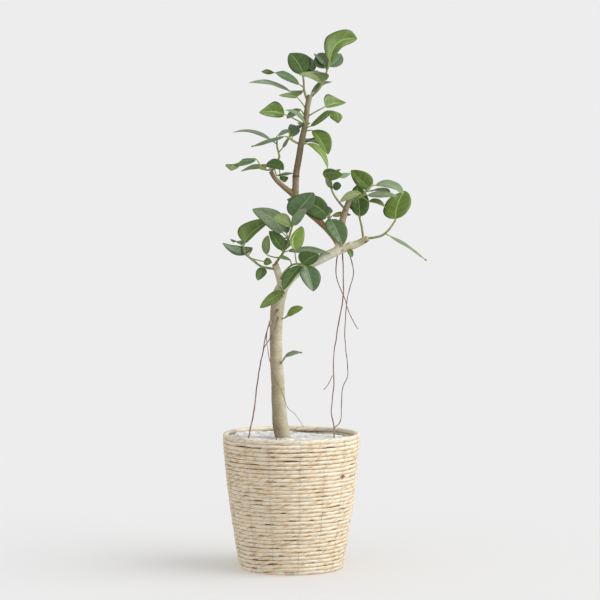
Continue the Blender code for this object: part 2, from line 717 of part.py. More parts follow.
def make_mass(name, tubes, kept, surface, collection):
    """One mass of foliage: its stem, twigs and leaves fused by one union."""
    joined = bpy.data.collections.new(name + "_pieces")
    bpy.context.scene.collection.children.link(joined)
    for piece in tubes:
        collection.objects.unlink(piece)
    mass = tubes[0]
    mass.name = name
    collection.objects.link(mass)
    for piece in tubes[1:]:
        joined.objects.link(piece)
    for number, (leaf, root) in enumerate(kept):
        leaf_solid(f"{name}_leaf_{number}", leaf, root, joined)
    boolean(mass, "UNION", joined, "MANIFOLD")
    for piece in list(joined.objects):
        bpy.data.objects.remove(piece)
    bpy.data.collections.remove(joined)
    mass.data.materials.clear()
    mass.data.materials.append(surface)
    return mass


def main():
    for obj in list(bpy.data.objects):
        bpy.data.objects.remove(obj)
    fig = bpy.data.collections.new("potted_bengal_fig")
    cutters = bpy.data.collections.new("cutters")
    bpy.context.scene.collection.children.link(fig)
    bpy.context.scene.collection.children.link(cutters)
    cutters.hide_render = True

    make_basket(fig)
    make_rim(fig)
    make_soil(fig)

    bark = material("pale_bark", (0.52, 0.47, 0.36), 0.8)
    root_bark = material("root_bark", (0.2, 0.12, 0.1), 0.8)
    green = material("fig_leaf", (0.09, 0.2, 0.06), 0.45)

    trunk_line = smooth_line(TRUNK_LINE)
    limb_line = smooth_line(LEADER_LIMB_LINE)
    leader_line = smooth_line(LEADER_LINE)
    riser_line = smooth_line(RISER_LINE)
    stub_line = smooth_line(LOW_STUB_LINE)

    def cutter(name, line, resolution):
        (first, first_radius), (last, last_radius) = line[0], line[-1]
        first = first + (first - line[1][0]).normalized() * GAP
        last = last + (last - line[-2][0]).normalized() * GAP
        longer = [(first, first_radius)] + line[1:-1] + [(last, last_radius)]
        piece = tube(name, longer, resolution, cutters, swell=GAP)
        piece.display_type = "WIRE"
        piece.hide_render = True
        return piece

    limbs = [
        ("trunk", section(trunk_line, 0, TRUNK_END), 4, []),
        ("main_bough", section(trunk_line, TRUNK_END, MAIN_BOUGH_END), 4, ["trunk"]),
        ("right_bough", section(trunk_line, MAIN_BOUGH_END, 1), 4, ["main_bough"]),
        ("leader_limb", section(limb_line, 0, LEADER_LIMB_END), 2, ["main_bough", "right_bough"]),
        ("left_stub", section(limb_line, LEADER_LIMB_END, 1), 2, ["leader_limb"]),
        ("leader", section(leader_line, 0, LEADER_END), 2, ["leader_limb", "left_stub"]),
        ("riser", riser_line, 2, ["main_bough", "right_bough", "leader_limb"]),
        ("low_stub", stub_line, 2, ["trunk", "main_bough"]),
    ]
    wood = {}
    swollen = {}
    for name, line, resolution, cuts in limbs:
        limb = tube(name, line, resolution, fig)
        swollen[name] = cutter(name + "_cutter", line, resolution)
        for other in cuts:
            boolean(limb, "DIFFERENCE", swollen[other])
        if name == "trunk":
            flat_foot(limb, SOIL_TOP + GAP)
        tidy_solid(limb)
        limb.data.materials.append(bark)
        wood[name] = limb

    film_cutters = [swollen["trunk"]]
    for name, route in AERIAL_ROOTS.items():
        line = smooth_line(route, ROOT_STEP)
        root = tube(name, line, 1, fig)
        for other in swollen.values():
            boolean(root, "DIFFERENCE", other)
        swollen[name] = cutter(name + "_cutter", line, 1)
        if line[-1][0].z < FILM_TOP:
            flat_foot(root, SOIL_TOP + GAP)
            film_cutters.append(swollen[name])
        tidy_solid(root)
        root.data.materials.append(root_bark)
        wood[name] = root
    make_film(fig, film_cutters)

    standing = [tree_of(piece) for piece in wood.values()]
    plan = shoots()
    lines = {}
    tubes = {}
    masses = {}
    kept = {}
    for name, shoot in plan.items():
        lines[name] = [smooth_line(twig, TWIG_STEP) for twig in shoot.twigs]
        tubes[name] = [tube(name + "_twig", line, 1, fig) for line in lines[name]]
        if shoot.section:
            stem = section(leader_line, *shoot.section)
            lines[name].insert(0, stem)
            tubes[name].insert(0, tube(name + "_stem", stem, 2, fig))
        masses[name] = [tree_of(piece) for piece in tubes[name]]
    for name, shoot in plan.items():
        kept[name] = grow(name, shoot.leaves, lines[name], standing, masses, fig)
    for name, shoot in plan.items():
        draw = random.Random(f"{name} {SEED}")
        wanted = len(kept[name]) + shoot.rear
        for _ in range(REAR_TRIES):
            if len(kept[name]) == wanted:
                break
            leaf = rear_leaf(lines[name], draw)
            before = standing + [tree for trees in masses.values() for tree in trees]
            if is_covered(leaf, before):
                kept[name] += grow(name, [leaf], lines[name], standing, masses, fig)
    for name, shoot in plan.items():
        mass = make_mass(name, tubes[name], kept[name], green, fig)
        if not shoot.section:
            for limb, _, _, _ in limbs:
                boolean(mass, "DIFFERENCE", swollen[limb])
        tidy_solid(mass)

    for obj in fig.objects:
        obj.data.shade_smooth()
        obj.data.set_sharp_from_angle(angle=SHARP_ANGLE)


main()
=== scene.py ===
"""Looks of a young bengal fig in a coiled rope basket.

Metres, +Z up, the front is -Y, and the origin is the middle of the basket's flat underside.
Places of limbs, twigs and leaves are whole millimetres, turned to metres by mm().
"""

import math
import random

import bmesh
import bpy
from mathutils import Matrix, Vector, noise
from mathutils.bvhtree import BVHTree
from mathutils.geometry import intersect_point_line
from mathutils.kdtree import KDTree


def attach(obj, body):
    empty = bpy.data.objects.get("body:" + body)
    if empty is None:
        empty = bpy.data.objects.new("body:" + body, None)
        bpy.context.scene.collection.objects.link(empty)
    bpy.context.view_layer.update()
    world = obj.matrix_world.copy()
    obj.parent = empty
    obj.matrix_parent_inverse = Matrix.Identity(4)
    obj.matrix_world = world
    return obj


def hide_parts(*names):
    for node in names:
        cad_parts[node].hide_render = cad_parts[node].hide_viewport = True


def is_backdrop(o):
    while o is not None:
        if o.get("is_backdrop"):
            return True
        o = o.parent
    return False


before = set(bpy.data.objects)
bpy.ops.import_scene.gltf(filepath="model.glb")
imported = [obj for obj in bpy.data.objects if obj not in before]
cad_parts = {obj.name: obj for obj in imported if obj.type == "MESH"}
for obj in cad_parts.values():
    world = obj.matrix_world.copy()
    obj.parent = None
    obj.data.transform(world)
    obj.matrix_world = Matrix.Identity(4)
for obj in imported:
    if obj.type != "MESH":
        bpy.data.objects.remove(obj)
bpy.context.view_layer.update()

SEED = 23
MERGE = 0.00002
UV_MAP = "own_uv"
LIMB_STEP = 0.004  # between the steps of a limb or an aerial root
TWIG_STEP = 0.003  # between the steps of a twig or a petiole

# Basket: one rope coiled upwards, bound by thread, with a thicker rope as its rim.
BASKET_HEIGHT = 0.298
FOOT_RADIUS = 0.1145  # over the rope
WALL_SPREAD = 0.185  # how the wall widens with its height
WALL_BELLY = 0.19  # and how it draws in again, with that height squared
RIM_ROPE = 0.0108
RIM_RADIUS = 0.1462
RIM_START = 158  # degrees round from the front
RIM_SWEEP = 378  # degrees from the rim rope's start to its end
RIM_INWARD = 38  # the last degrees of these, in which it moves in beside its own start
RIM_SHIFT = 0.0085  # how far in and how far down it moves there
RIM_SINK = 0.002
RIM_STEPS = 330
RIM_SIDES = 16
COIL_START = 1  # degrees round from the front, towards the right
COIL_TURNS = 32.44
COIL_TAIL = 0.13  # turns over which each end tapers away
COIL_NOTCH = 0.02  # and the dark notch in front of the rope's first end
COIL_BLUNT = 0.01  # turns over which a cut end rounds off
COIL_CUT = 0.35  # share of its thickness left at the very end
COIL_BLEND = 8  # turns over which a level first or last turn becomes an even screw
COIL_RISE = 0.14  # share of a level turn in which it climbs to the next
COIL_STEP = 0.0042
COIL_DEPTH = 0.0104
COIL_PITCH = (BASKET_HEIGHT - RIM_ROPE) / (COIL_TURNS + 1)
COIL_SIDES = 12
COIL_STRAY = (0.0011, 0.0008)  # how far the rope strays outward and upward from its even course
GAP_MOST = 0.2  # share of the rope's half height by which it may stop short of the rope below
GAP_TURNS = (12, 14)  # the turns about which gaps are widest, and how far from there they fade
FOOT_ROPE = 0.0108  # between the turns of the flat coil underneath
FOOT_ROPE_STEP = 0.006
FOOT_ROPE_START = 0.004  # radius of its first turn
FOOT_ROPE_INSET = 0.012  # from the wall's outside to its last turn
FOOT_ROPE_HALVES = (0.0054, 0.0053)  # half depth and half height
FOOT_ROPE_MIDDLE = 0.0061  # height of its middle
# The dark inner sheet is painted shade, seen through the gaps between courses.
SHADE_SHEET = 0.0012
SHADE_SHEET_FOOT = 0.007  # height at which that layer starts
FRAYS = 420
FRAY_RADIUS = 0.00038
FRAY_LENGTH = (0.003, 0.009)
FRAY_LIFT = (-0.0016, 0.0022)
FRAY_OUT = (0.0003, 0.0026)
KNOT_AT = (50.2, 0.2125)  # degrees round from the front, and height
STRANDS = 3
STRAND_LAY = 0.09  # length of rope over which a strand goes once round it
STRAND_RELIEF = 0.022  # of the strands and of the rope's lumps, as shares of its radius
ROPE_LUMPS = 0.1
ROPE_SQUARE = 3.2  # two would make a round rope
STITCH_COLUMNS = (
    -69, -41, -19, 7.5, 29.5, 50.5, 74.5, 98.5, 122.5, 146.5, 170.5, 194.5, 218.5, 242.5, 266.5
)
STITCH_PINCH = 2.2  # degrees on both sides of a column in which the rope is pinched
STITCH_BITE = 0.0006  # how far it is drawn in there
STITCH_TURN = 76  # degrees over and under a course that a stitch covers
THREAD = 0.00045
SOIL_TOP = 0.276
FILM_TOP = 0.2835
FILM_RADIUS = 0.1362
FILM_THICKNESS = 0.0003
FILM_RELIEF = (0.0024, 0.0012, 0.003)  # of its creases, its small creases and its slow swells
FILM_EDGE = (0.002, 0.0065)  # how far its edge turns up all round, and more at the front left
FILM_UP_TRUNK = 0.004
FILM_SHORT = 0.016  # how far the film stops short of the wall at the back right
BACK_RIGHT = math.radians(52)
FRONT_LEFT = math.radians(235)
CRUMBS = 260
CRUMB_RADIUS = (0.0009, 0.0024)
CRUMB_RING = (0.108, 0.1295)

# Wood: the limbs are fused by a fine remesh before the bark gets its relief.
BARK_VOXEL = 0.0013
BARK_SMOOTHINGS = 4
BARK_RELIEF = (0.028, 0.012, 0.05)  # of its wide rings, fine rings and lumps, as shares of a limb's radius
BARK_GRAIN = 0.00022
CUT_ABOVE_SOIL = 0.0003
ROOT_KINK = 0.0012
LIMB_SIDES = 24
TWIG_SIDES = 8
ROOT_SIDES = 6  # of a petiole too

# Leaves: a rear leaf is kept only where its mass's solid has it. Leaves follow the rule
# of the solids.
PETIOLE_RADIUS = 0.0014
PETIOLE_TIP = 0.0009
PETIOLE_DROP = 0.008  # from a blade's foot down to where its petiole aims at the twig
PETIOLE_SAG = 0.15
BLADE_WIDTH = 0.52
BLADE_BELLY = 0.85
BLADE_ROUNDNESS = 0.6
BLADE_FOLD = math.radians(17)
BLADE_ARCH = 0.07
BLADE_TURN = (0.45, 0.9)  # stretch of a blade over which its halves turn to their way at the tip
BLADE_POINT = 0.985  # where its short point begins
LATE_BEND = 1.7
BLADE_WAVES = (1.3, 2.2)  # least and most ripples along a margin
BLADE_RIPPLE = (0.01, 0.022)  # how high they are, as a share of the blade's width
BLADE_DOME = (0.02, 0.12)  # how far its halves belly upward, as a share of their own width
BLADE_ACROSS = 12
BLADE_ALONG = 22
BLADE_THICKNESS = 0.0005  # of its lower half, which is twice the upper one
FULLER = 1.04  # the solids' few faces stand a little inside their own outline
VEIN_PAIRS = 4.5
VEIN_CLIMB = 0.2  # share of the blade's length that a side vein climbs from midrib to margin
VEIN_CURVE = 1.35
VEIN_RELIEF = 0.00016
BUD_LENGTH = (0.006, 0.011)
CURL_LENGTH = 0.005  # of the knob at a curled tip
REAR_PETIOLE = 0.018
REAR_LENGTH = (0.058, 0.078)
REAR_SPREAD = math.radians(50)
REAR_RISE = (math.radians(-25), math.radians(40))
REAR_DROOP = 0.2
REAR_TRIES = 400
SOLID_NEAR = 0.0016  # a leaf stands for one of its mass's solid when every test point is this near
SOLID_TESTS = (0.1, 0.3, 0.55, 0.8)  # shares of a blade's length where these points are
SOLID_TWIG_STEP = 0.018
SOLID_LIMB_STEP = 0.014
SOLID_GAP = 0.0003  # between two stretches of the leader that are solids of their own
SOLID_CLEAR = 0.003  # a ring of a stretch is left out when it is this near to the stretch's end

# Tones of the leaves, by blade, veins and roughness; a leaf without its own draws from the mixed ones.
DEEP = "deep_green_leaf"
MID = "mid_green_leaf"
# a young leaf's yellow-green, also given as painted light to leaves that lie in shade
FRESH_AND_PAINTED_LIT = "fresh_and_painted_lit_green_leaf"
# a painted sheen: the pale grey-green of a leaf whose upper face shows a sheen
PAINTED_SHEEN = "painted_sheen_green_leaf"
# painted shade, with a bluish painted sheen
PAINTED_SHADE = "painted_shade_green_leaf"
# the mixed ones include the painted sheen
MIXED = (DEEP, DEEP, MID, MID, PAINTED_SHEEN)
LEAF_LOOKS = {
    DEEP: ((0.062, 0.126, 0.019), (0.25, 0.38, 0.08), 0.46),
    MID: ((0.108, 0.172, 0.024), (0.3, 0.43, 0.1), 0.46),
    FRESH_AND_PAINTED_LIT: ((0.175, 0.262, 0.036), (0.38, 0.52, 0.15), 0.48),
    PAINTED_SHEEN: ((0.185, 0.25, 0.13), (0.33, 0.43, 0.23), 0.4),
    PAINTED_SHADE: ((0.082, 0.142, 0.053), (0.23, 0.34, 0.14), 0.42),
}
UNDERSIDE = ((0.165, 0.21, 0.075), (0.31, 0.4, 0.15), 0.6)

# Camera and lights, set by the photo.
CAMERA_AT = (0.019, -4.8, 0.836)
CAMERA_AIM = (0.019, 0, 0.5907)
SENSOR = 36
SHOWN_WIDTH = 1.32  # of the picture, at the aim
FLOOR_SIZE = 60
FLOOR_LIGHT = 0.95
FLOOR_LIGHT_WAY = (-2.2, 0.5, -2.4)
AIR_GIVEN = 0.72  # light of the white air on the plant, and as the camera sees it
AIR_SEEN = 0.85
LAMP_AIM = (0, 0, 0.6)
# Each lamp's place, size and power.
LAMPS = {
    "window": ((2.7, -1.2, 2.6), 1.8, 105),
    "front": ((-0.6, -3.6, 2.0), 2.0, 12),
}

# Directions, and places in metres.
UP = Vector((0, 0, 1))
FRONT = Vector((0, -1, 0))
BACK = Vector((0, 1, 0))


def mm(point):
    return Vector(point) / 1000


# Each limb route is (x, y, z, radius) in millimetres, from its foot to its tip.
# One line runs from the soil through the fork and along the bough to its cut end on the right.
TRUNK_LINE = [
    (-14, 0, 258, 21), (-18, 0, 283, 17.8), (-25, 0, 322, 17), (-28, 0, 366, 15.5), (-30, 1, 411, 14.7),
    (-33, 2, 457, 14.1), (-34, 3, 501, 13.5), (-33, 2, 547, 14.5), (-31, 1, 572, 15.4), (-27, 0, 600, 15.6),
    (-16, -1, 624, 13.6), (4, -3, 646, 12), (26, -5, 662, 11.4), (48, -7, 674, 11.2), (74, -10, 686, 10.6),
    (96, -12, 697, 10), (114, -14, 704, 9.4), (129, -17, 709, 9.1), (147, -21, 716, 8), (160, -25, 723, 7.4),
    (169, -28, 727, 5.8),
]
# The limb that turns back to the left over the fork, and the cut stub it ends in.
LEADER_LIMB_LINE = [
    (110, -13, 703, 8.2), (92, -4, 732, 7.4), (63, 0, 762, 7.2), (32, 5, 789, 7.4), (10, 10, 817, 7.4),
    (-20, 14, 842, 5.8), (-36, 15, 858, 5.3), (-46, 15, 874, 5),
]
# The leader rises from that limb, bare at first and then clothed in leaves.
LEADER_LINE = [
    (9, 10, 812, 7.6), (10, 11, 863, 7.3), (17, 12, 905, 7.1), (22, 12, 936, 6.9), (31, 11, 979, 6.6),
    (35, 10, 1013, 6.4), (41, 9, 1041, 6),
]
LEADER_END = 0.49  # shares of that line where its bare stretch and its first leaves end
LEADER_LEAVES_END = 0.84
RISER_LINE = [(112, -14, 704, 8), (110, -16, 735, 7.8), (113, -18, 769, 7.4), (127, -21, 812, 6.2)]
LOW_STUB_LINE = [(-20, -1, 618, 8.4), (-26, -2, 640, 8.2), (-36, -5, 671, 7.4)]

AERIAL_ROOTS = {
    "aerial_root_long": [
        (112, -14, 700, 1.5), (114, -16, 606, 1.3), (103, -12, 535, 1.3), (93, -4, 464, 1.2),
        (94, 2, 405, 1.2), (88, 4, 346, 1.2), (94, 4, 313, 1.4), (93, 4, 276, 1.6),
    ],
    "aerial_root_second": [
        (122, -17, 706, 1.4), (136, -20, 654, 1.2), (122, -24, 591, 1.1), (117, -24, 510, 1.1),
        (124, -12, 430, 1), (112, -6, 393, 1), (109, 0, 328, 1), (93, 4, 306, 1),
    ],
    "aerial_root_free": [
        (102, -11, 696, 1.4), (98, -8, 646, 1.2), (114, -3, 603, 1.1), (128, -6, 563, 1),
        (142, -5, 534, 0.9), (147, -5, 527, 0.8),
    ],
    "aerial_root_rootlet": [(91, 0, 424, 0.9), (80, -6, 404, 0.8), (71, -8, 393, 0.7)],
    "aerial_root_left": [
        (-31, -13, 570, 1.5), (-46, -21, 543, 1.4), (-52, -23, 529, 1.4), (-57, -23, 506, 1.4),
        (-61, -23, 484, 1.4), (-70, -22, 440, 1.4), (-75, -20, 403, 1.5), (-84, -13, 338, 1.5),
        (-97, -6, 276, 1.7),
    ],
    "aerial_root_left_branch": [
        (-29, -12, 553, 1.2), (-35, -20, 531, 1.2), (-46, -25, 508, 1.1), (-60, -24, 487, 1),
    ],
    "aerial_root_fine": [
        (-40, -4, 548, 1), (-51, -8, 528, 0.9), (-54, -12, 507, 0.9), (-50, -17, 474, 0.8),
        (-46, -20, 452, 0.8), (-36, -21, 419, 0.8), (-23, -22, 396, 0.7), (-15, -22, 373, 0.7),
        (-7, -20, 354, 0.7), (10, -16, 337, 0.6), (26, -8, 311, 0.6),
    ],
    "aerial_root_basal": [(-26, -6, 318, 1.3), (-30, -21, 304, 1.1), (-35, -26, 276, 1.1)],
}


class Leaf:
    """One leaf by its blade: base, reach from base to tip, bend of its middle, and how its halves spread."""

    def __init__(
        self, tone, base, reach, bend=(0, 0, 0), left=None, right=None, left_tip=None, right_tip=None,
        late=False, at=None, faces=UP + FRONT, width=None, curled=False
    ):
        self.tone = tone
        self.base = mm(base)
        self.reach = mm(reach)
        self.length = self.reach.length
        self.root = mm(at) if at else self.base - UP * PETIOLE_DROP  # where its petiole leaves the twig
        self.late = late  # whether it bends most past its middle
        self.curled = curled  # whether its tip is rolled up to a knob
        if left:
            self.bend = mm(bend)
            self.left = [mm(left), mm(left_tip or left)]
            self.right = [mm(right), mm(right_tip or right)]
            return
        # without halves of its own, its upper face looks the given way and its width follows its length
        along = self.reach.normalized()
        up = (faces - along * faces.dot(along)).normalized()
        half = (width / 1000 if width else self.length * BLADE_WIDTH) / 2
        rise = up * math.sin(BLADE_FOLD) * half
        out = along.cross(up) * math.cos(BLADE_FOLD) * half
        self.bend = up * BLADE_ARCH * self.length
        self.left = [rise - out] * 2
        self.right = [rise + out] * 2


class Shoot:
    """A mass of leaves on twigs; the first twig is the stem that stands on a limb."""

    def __init__(self, twigs, leaves, rear=0, section=None):
        self.twigs = twigs
        self.leaves = leaves
        self.rear = rear
        self.section = section  # of the leader's line, where that is the stem


# Every mass of foliage from the top down, and behind these leaves as many more as rear says.
SHOOTS = {
    "crown_top": Shoot(
        [
            [(34, 10, 1031, 2.6), (28, 12, 1051, 2.4), (27, 15, 1072, 2.2), (25, 17, 1086, 2)],
            [(38, 9, 1032, 3), (57, 5, 1050, 2.6), (65, 4, 1060, 2.4), (73, 2, 1078, 2.2),
             (83, -2, 1110, 2)],
        ],
        [
            Leaf(DEEP, (26, 18, 1088), (-30, 42, 47), (2, 1, 3), (-18, -5, -9), (24, -5, 12)),
            Leaf(PAINTED_SHEEN, (31, 38, 1087), (-3, 36, 47), (10, 0, 0), (-12, 0, 2), (15, -4, -1)),
            Leaf(PAINTED_SHADE, (17, 10, 1064), (-83, -14, 27), (0, 0, 8), (2, -15, -9), (5, 14, 10), (0, -6, 10),
                 (0, 6, -11)),
            Leaf(MID, (85, -4, 1110), (60, 28, 54), (-13, 0, 17), (-20, -4, 17), (9, -8, -10), (4, -4, 31),
                 (8, -4, -17)),
            Leaf(PAINTED_SHADE, (78, 8, 1099), (-18, 46, 36), (0, 0, -2), (-19, -5, -4), (15, -5, 12)),
            Leaf(PAINTED_SHADE, (83, 4, 1102), (26, 50, 32), (3, 0, -1), (-13, -5, 7), (13, -5, -6)),
            Leaf(None, (64, 0, 1068), (-48, -48, 14), (5, -2, 10), (28, 8, 3), (-1, -9, -11), (0, 8, 6)),
            Leaf(PAINTED_SHADE, (44, 14, 1045), (46, 20, 25), (-2, 0, 8), (-4, 14, 4), (4, -14, -4)),
            Leaf(PAINTED_SHEEN, (-3, 8, 1049), (-90, -22, 17), (-2, 0, 11), (1, -15, -6), (2, 15, 5)),
            Leaf(None, (12, 0, 1036), (-39, -40, 1), (1, 0, 2), (23, 10, 11), (2, -9, -6), (-2, 9, 4),
                 at=(30, 10, 1006)),
        ],
        rear=3, section=(LEADER_LEAVES_END, 1),
    ),
    "leader_leaves": Shoot(
        [
            [(20, 12, 932, 2.6), (6, 8, 939, 2.4), (-5, 4, 946, 2.2)],
        ],
        [
            Leaf(MID, (75, 0, 1015), (46, 42, 10), (-3, 0, 2), (-11, -5, 21), (0, -8, -7), (-3, -4, 9),
                 at=(32, 10, 991)),
            Leaf(MID, (-15, 0, 998), (-55, -44, 2), (3, 0, 4), (1, -8, -12), (2, -4, 22), None,
                 (-4, -3, 10), at=(23, 10, 976)),
            Leaf(PAINTED_SHEEN, (30, 2, 977), (-43, -38, 29), (6, 0, 8), (-2, -12, -5), (2, 11, 4)),
            Leaf(PAINTED_SHEEN, (19, 24, 1010), (-30, 38, -19), (-1, 0, 2), (4, -8, -7), (-5, -4, 5),
                 at=(29, 12, 988)),
            Leaf(MID, (42, 0, 972), (60, -30, 5), (11, 0, 27), (-4, 14, 10), (2, -13, -3), (20, 0, -8),
                 (-24, -4, -16), late=True),
            Leaf(MID, (46, 0, 963), (34, -38, -54), (0, 0, 5), (22, -3, 8), (-7, -9, -4)),
            Leaf(FRESH_AND_PAINTED_LIT, (34, 2, 934), (46, -10, -55), (6, 0, 8), (8, 14, 7), (-3, -11, -3)),
            Leaf(PAINTED_SHADE, (-15, -2, 950), (-70, -40, -23), (0, 0, 2), (0, -13, -6), (-1, 13, 3), curled=True),
            Leaf(PAINTED_SHEEN, (-4, 10, 964), (-27, 48, -12), (0, 0, 4), (2, -10, -6), (-2, 10, 3)),
            Leaf(PAINTED_SHADE, (2, 4, 949), (-4, 40, 29), (3, 0, 1), (-10, -4, 1), (15, -4, 2)),
        ],
        rear=4, section=(LEADER_END, LEADER_LEAVES_END),
    ),
    "left_shoot": Shoot(
        [
            [(-45, 15, 871, 2.8), (-28, 12, 900, 2.4), (-27, 11, 910, 2.2), (-31, 11, 926, 2),
             (-32, 12, 944, 1.6)],
            [(-45, 14, 879, 2.2), (-51, 9, 876, 2.1), (-66, 6, 879, 1.9)],
        ],
        [
            Leaf(PAINTED_SHEEN, (-43, 14, 940), (-87, 22, 19), (2, 0, 12), (-2, -14, -4), (2, 14, 4)),
            Leaf(None, (-19, 4, 925), (14, -20, 22), (0, 0, 0), (3, 6, -2), (-3, -6, 2)),
            Leaf(DEEP, (-57, 0, 886), (41, -38, -10), (1, 0, 5), (4, -4, 14), (0, -9, -7), (9, -4, 14)),
            Leaf(PAINTED_SHADE, (-77, 4, 900), (-54, -44, -26), (-9, 0, 7), (0, -12, -8), (3, 6, 7), (-26, 0, 5),
                 (23, 0, -7), late=True),
            Leaf(None, (-54, 8, 877), (-59, 38, -4), (5, 0, 8), (1, 11, 6), (1, -12, -5)),
            Leaf(None, (-32, -2, 864), (37, -42, 5), (1, 0, 2), (0, -9, -5), (0, 8, 2), at=(-37, 13, 884)),
            Leaf(DEEP, (-24, -3, 862), (10, -25, -13), (3, 0, 3), (9, -3, 2), (-7, -5, -4),
                 at=(-27, 11, 905)),
        ],
        rear=2,
    ),
    "low_left_shoot": Shoot(
        [
            [(-36, -7, 659, 2.8), (-54, -9, 662, 2.6), (-68, -10, 666, 2.5), (-86, -10, 680, 2.4),
             (-101, -8, 693, 2.2), (-105, -4, 707, 2), (-102, 0, 718, 1.8)],
        ],
        [
            Leaf(MID, (-102, 0, 716), (61, 26, 53), (-12, 0, -2), (-24, -3, 16), (6, -9, -4)),
            Leaf(PAINTED_SHADE, (-86, 14, 705), (-65, -38, 12), (3, 0, -6), (-3, -6, -15), (0, 4, 5)),
            Leaf(DEEP, (-66, -14, 663), (-7, -20, -28), (3, 0, 1), (12, -4, 1), (-11, -4, 1)),
            Leaf(MID, (-60, -18, 676), (18, -10, -2), faces=FRONT + UP * 0.3, width=18, at=(-89, -10, 682)),
        ],
        rear=2,
    ),
    "middle_shoot": Shoot(
        [
            [(-35, -6, 671, 3), (-27, -10, 682, 2.8), (-18, -14, 695, 2.6), (-13, -18, 710, 2.5),
             (-6, -20, 727, 2.3), (-1, -22, 743, 2.1), (2, -23, 755, 1.9)],
        ],
        [
            Leaf(PAINTED_SHEEN, (-19, -20, 739), (-67, 20, 52), (11, 0, 5), (-15, -4, -13), (14, -3, 15)),
            Leaf(None, (-54, -16, 691), (3, -20, 43), (-3, 0, 0), (9, 4, 2), (-9, -4, 2),
                 at=(-25, -11, 684)),
            Leaf(DEEP, (-18, -30, 702), (-31, 26, 41), (1, 0, -1), (-8, -4, -6), (15, -4, 8)),
            Leaf(DEEP, (0, -26, 753), (-39, -46, 20), (1, 0, 4), (4, 5, 14), (-4, -7, -9)),
            Leaf(PAINTED_SHEEN, (5, -30, 756), (29, -14, 36), (-2, 0, -1), (-10, -3, 9), (5, -4, -6)),
            Leaf(PAINTED_SHADE, (3, -24, 774), (46, -8, 53), (0, 0, 0), (-26, -4, 12), (19, -4, -7)),
            Leaf(PAINTED_SHADE, (-10, -8, 737), (-8, 52, 41), (0, 0, 0), (-14, -4, 4), (10, -4, 2)),
            Leaf(PAINTED_SHEEN, (-8, -12, 699), (94, -20, -6), (1, 0, 6), (0, 15, 7), (0, -13, -7)),
        ],
        rear=2,
    ),
    "fork_shoot": Shoot(
        [
            [(-24, -7, 636, 2.6), (-16, -20, 652, 2.4), (-1, -27, 667, 2.2), (10, -30, 671, 2.1),
             (24, -33, 672, 1.9)],
        ],
        [
            Leaf(FRESH_AND_PAINTED_LIT, (8, -42, 702), (14, 16, 52), (-12, 0, -1), (-5, -8, 1), (25, -3, 2)),
            Leaf(DEEP, (24, -41, 671), (35, -29, 23), (-1, 0, 2), (-18, 3, 13), (11, -4, -9)),
            Leaf(DEEP, (21, -36, 668), (-38, -14, -53), (-2, 0, 3), (7, -9, -4), (-16, -3, 5)),
            Leaf(PAINTED_SHADE, (31, -36, 669), (17, -22, -57), (0, 0, 3), (24, -5, 2), (-19, -8, 1)),
            Leaf(DEEP, (-3, -32, 681), (-25, -32, 6), (0, 0, 2), (3, -5, -5), (-1, 5, 4)),
        ],
    ),
    "right_bough_shoot": Shoot(
        [
            [(158, -22, 724, 2.6), (154, -16, 752, 2.3), (149, -6, 774, 2)],
        ],
        [
            Leaf(DEEP, (151, -4, 774), (-6, 28, 70), (0, 0, 0), (-20, -4, 1), (22, -4, 1)),
        ],
        rear=2,
    ),
    "centre_shoot": Shoot(
        [
            [(77, -3, 750, 2.8), (80, -8, 760, 2.5), (83, -12, 776, 2.2)],
        ],
        [
            Leaf(DEEP, (79, -12, 774), (-89, -2, 38), (11, 0, 9), (-10, -4, -22), (11, -4, 17)),
            Leaf(DEEP, (83, -6, 780), (-13, 52, 18), (0, 0, 0), (-14, -3, 2), (12, -4, 2)),
            Leaf(PAINTED_SHADE, (86, -18, 769), (26, -26, -56), (0, 0, 3), (22, -5, 5), (-20, -6, 1)),
            Leaf(FRESH_AND_PAINTED_LIT, (90, -4, 776), (42, 40, 1), (0, 0, 3), (0, 10, 6), (0, -10, -5)),
        ],
        rear=2,
    ),
    "riser_left_shoot": Shoot(
        [
            [(118, -20, 790, 2.6), (105, -21, 805, 2.4), (94, -20, 821, 2.2), (88, -18, 835, 2),
             (87, -15, 856, 1.8)],
        ],
        [
            Leaf(MID, (69, -16, 867), (42, -36, 0), (-2, 0, 3), (-4, -4, 9), (2, -6, -16)),
            Leaf(PAINTED_SHEEN, (87, -12, 857), (-2, 38, 10), (0, 0, 0), (-12, -2, 3), (10, -2, 3)),
            Leaf(None, (85, -20, 838), (-11, -40, 22), (1, 0, 0), (7, 4, 2), (-5, -4, -2)),
            Leaf(PAINTED_SHADE, (90, -20, 840), (19, -20, 2), (0, 0, 0), (0, -2, 9), (0, -3, -9)),
            Leaf(PAINTED_SHEEN, (100, -8, 865), (30, 16, 4), (0, 0, 0), (0, 6, 3), (1, -8, -8)),
        ],
        rear=1,
    ),
    "riser_top_shoot": Shoot(
        [
            [(126, -21, 808, 2.8), (140, -25, 815, 2.6), (154, -28, 818, 2.4), (163, -29, 829, 2.2),
             (174, -28, 841, 2)],
        ],
        [
            Leaf(MID, (172, -30, 836), (-41, 50, 40), (0, 0, -2), (-10, -4, -9), (17, -4, 14)),
            Leaf(PAINTED_SHEEN, (184, -28, 843), (61, -18, -20), (2, 0, 10), (2, 13, 10), (-2, -12, -6),
                 (8, 8, 14)),
            Leaf(PAINTED_SHEEN, (166, -36, 821), (65, -26, -3), (3, 0, 6), (-1, 13, 6), (-1, -12, -8)),
            Leaf(FRESH_AND_PAINTED_LIT, (169, -34, 808), (36, -16, -14), (3, 0, 6), (1, 11, 6), (-1, -9, -5)),
            Leaf(None, (151, -32, 826), (-46, -42, -19), (-1, 0, 4), (-2, 8, 8), (2, -9, -8)),
        ],
        rear=2,
    ),
    "right_tip_shoot": Shoot(
        [
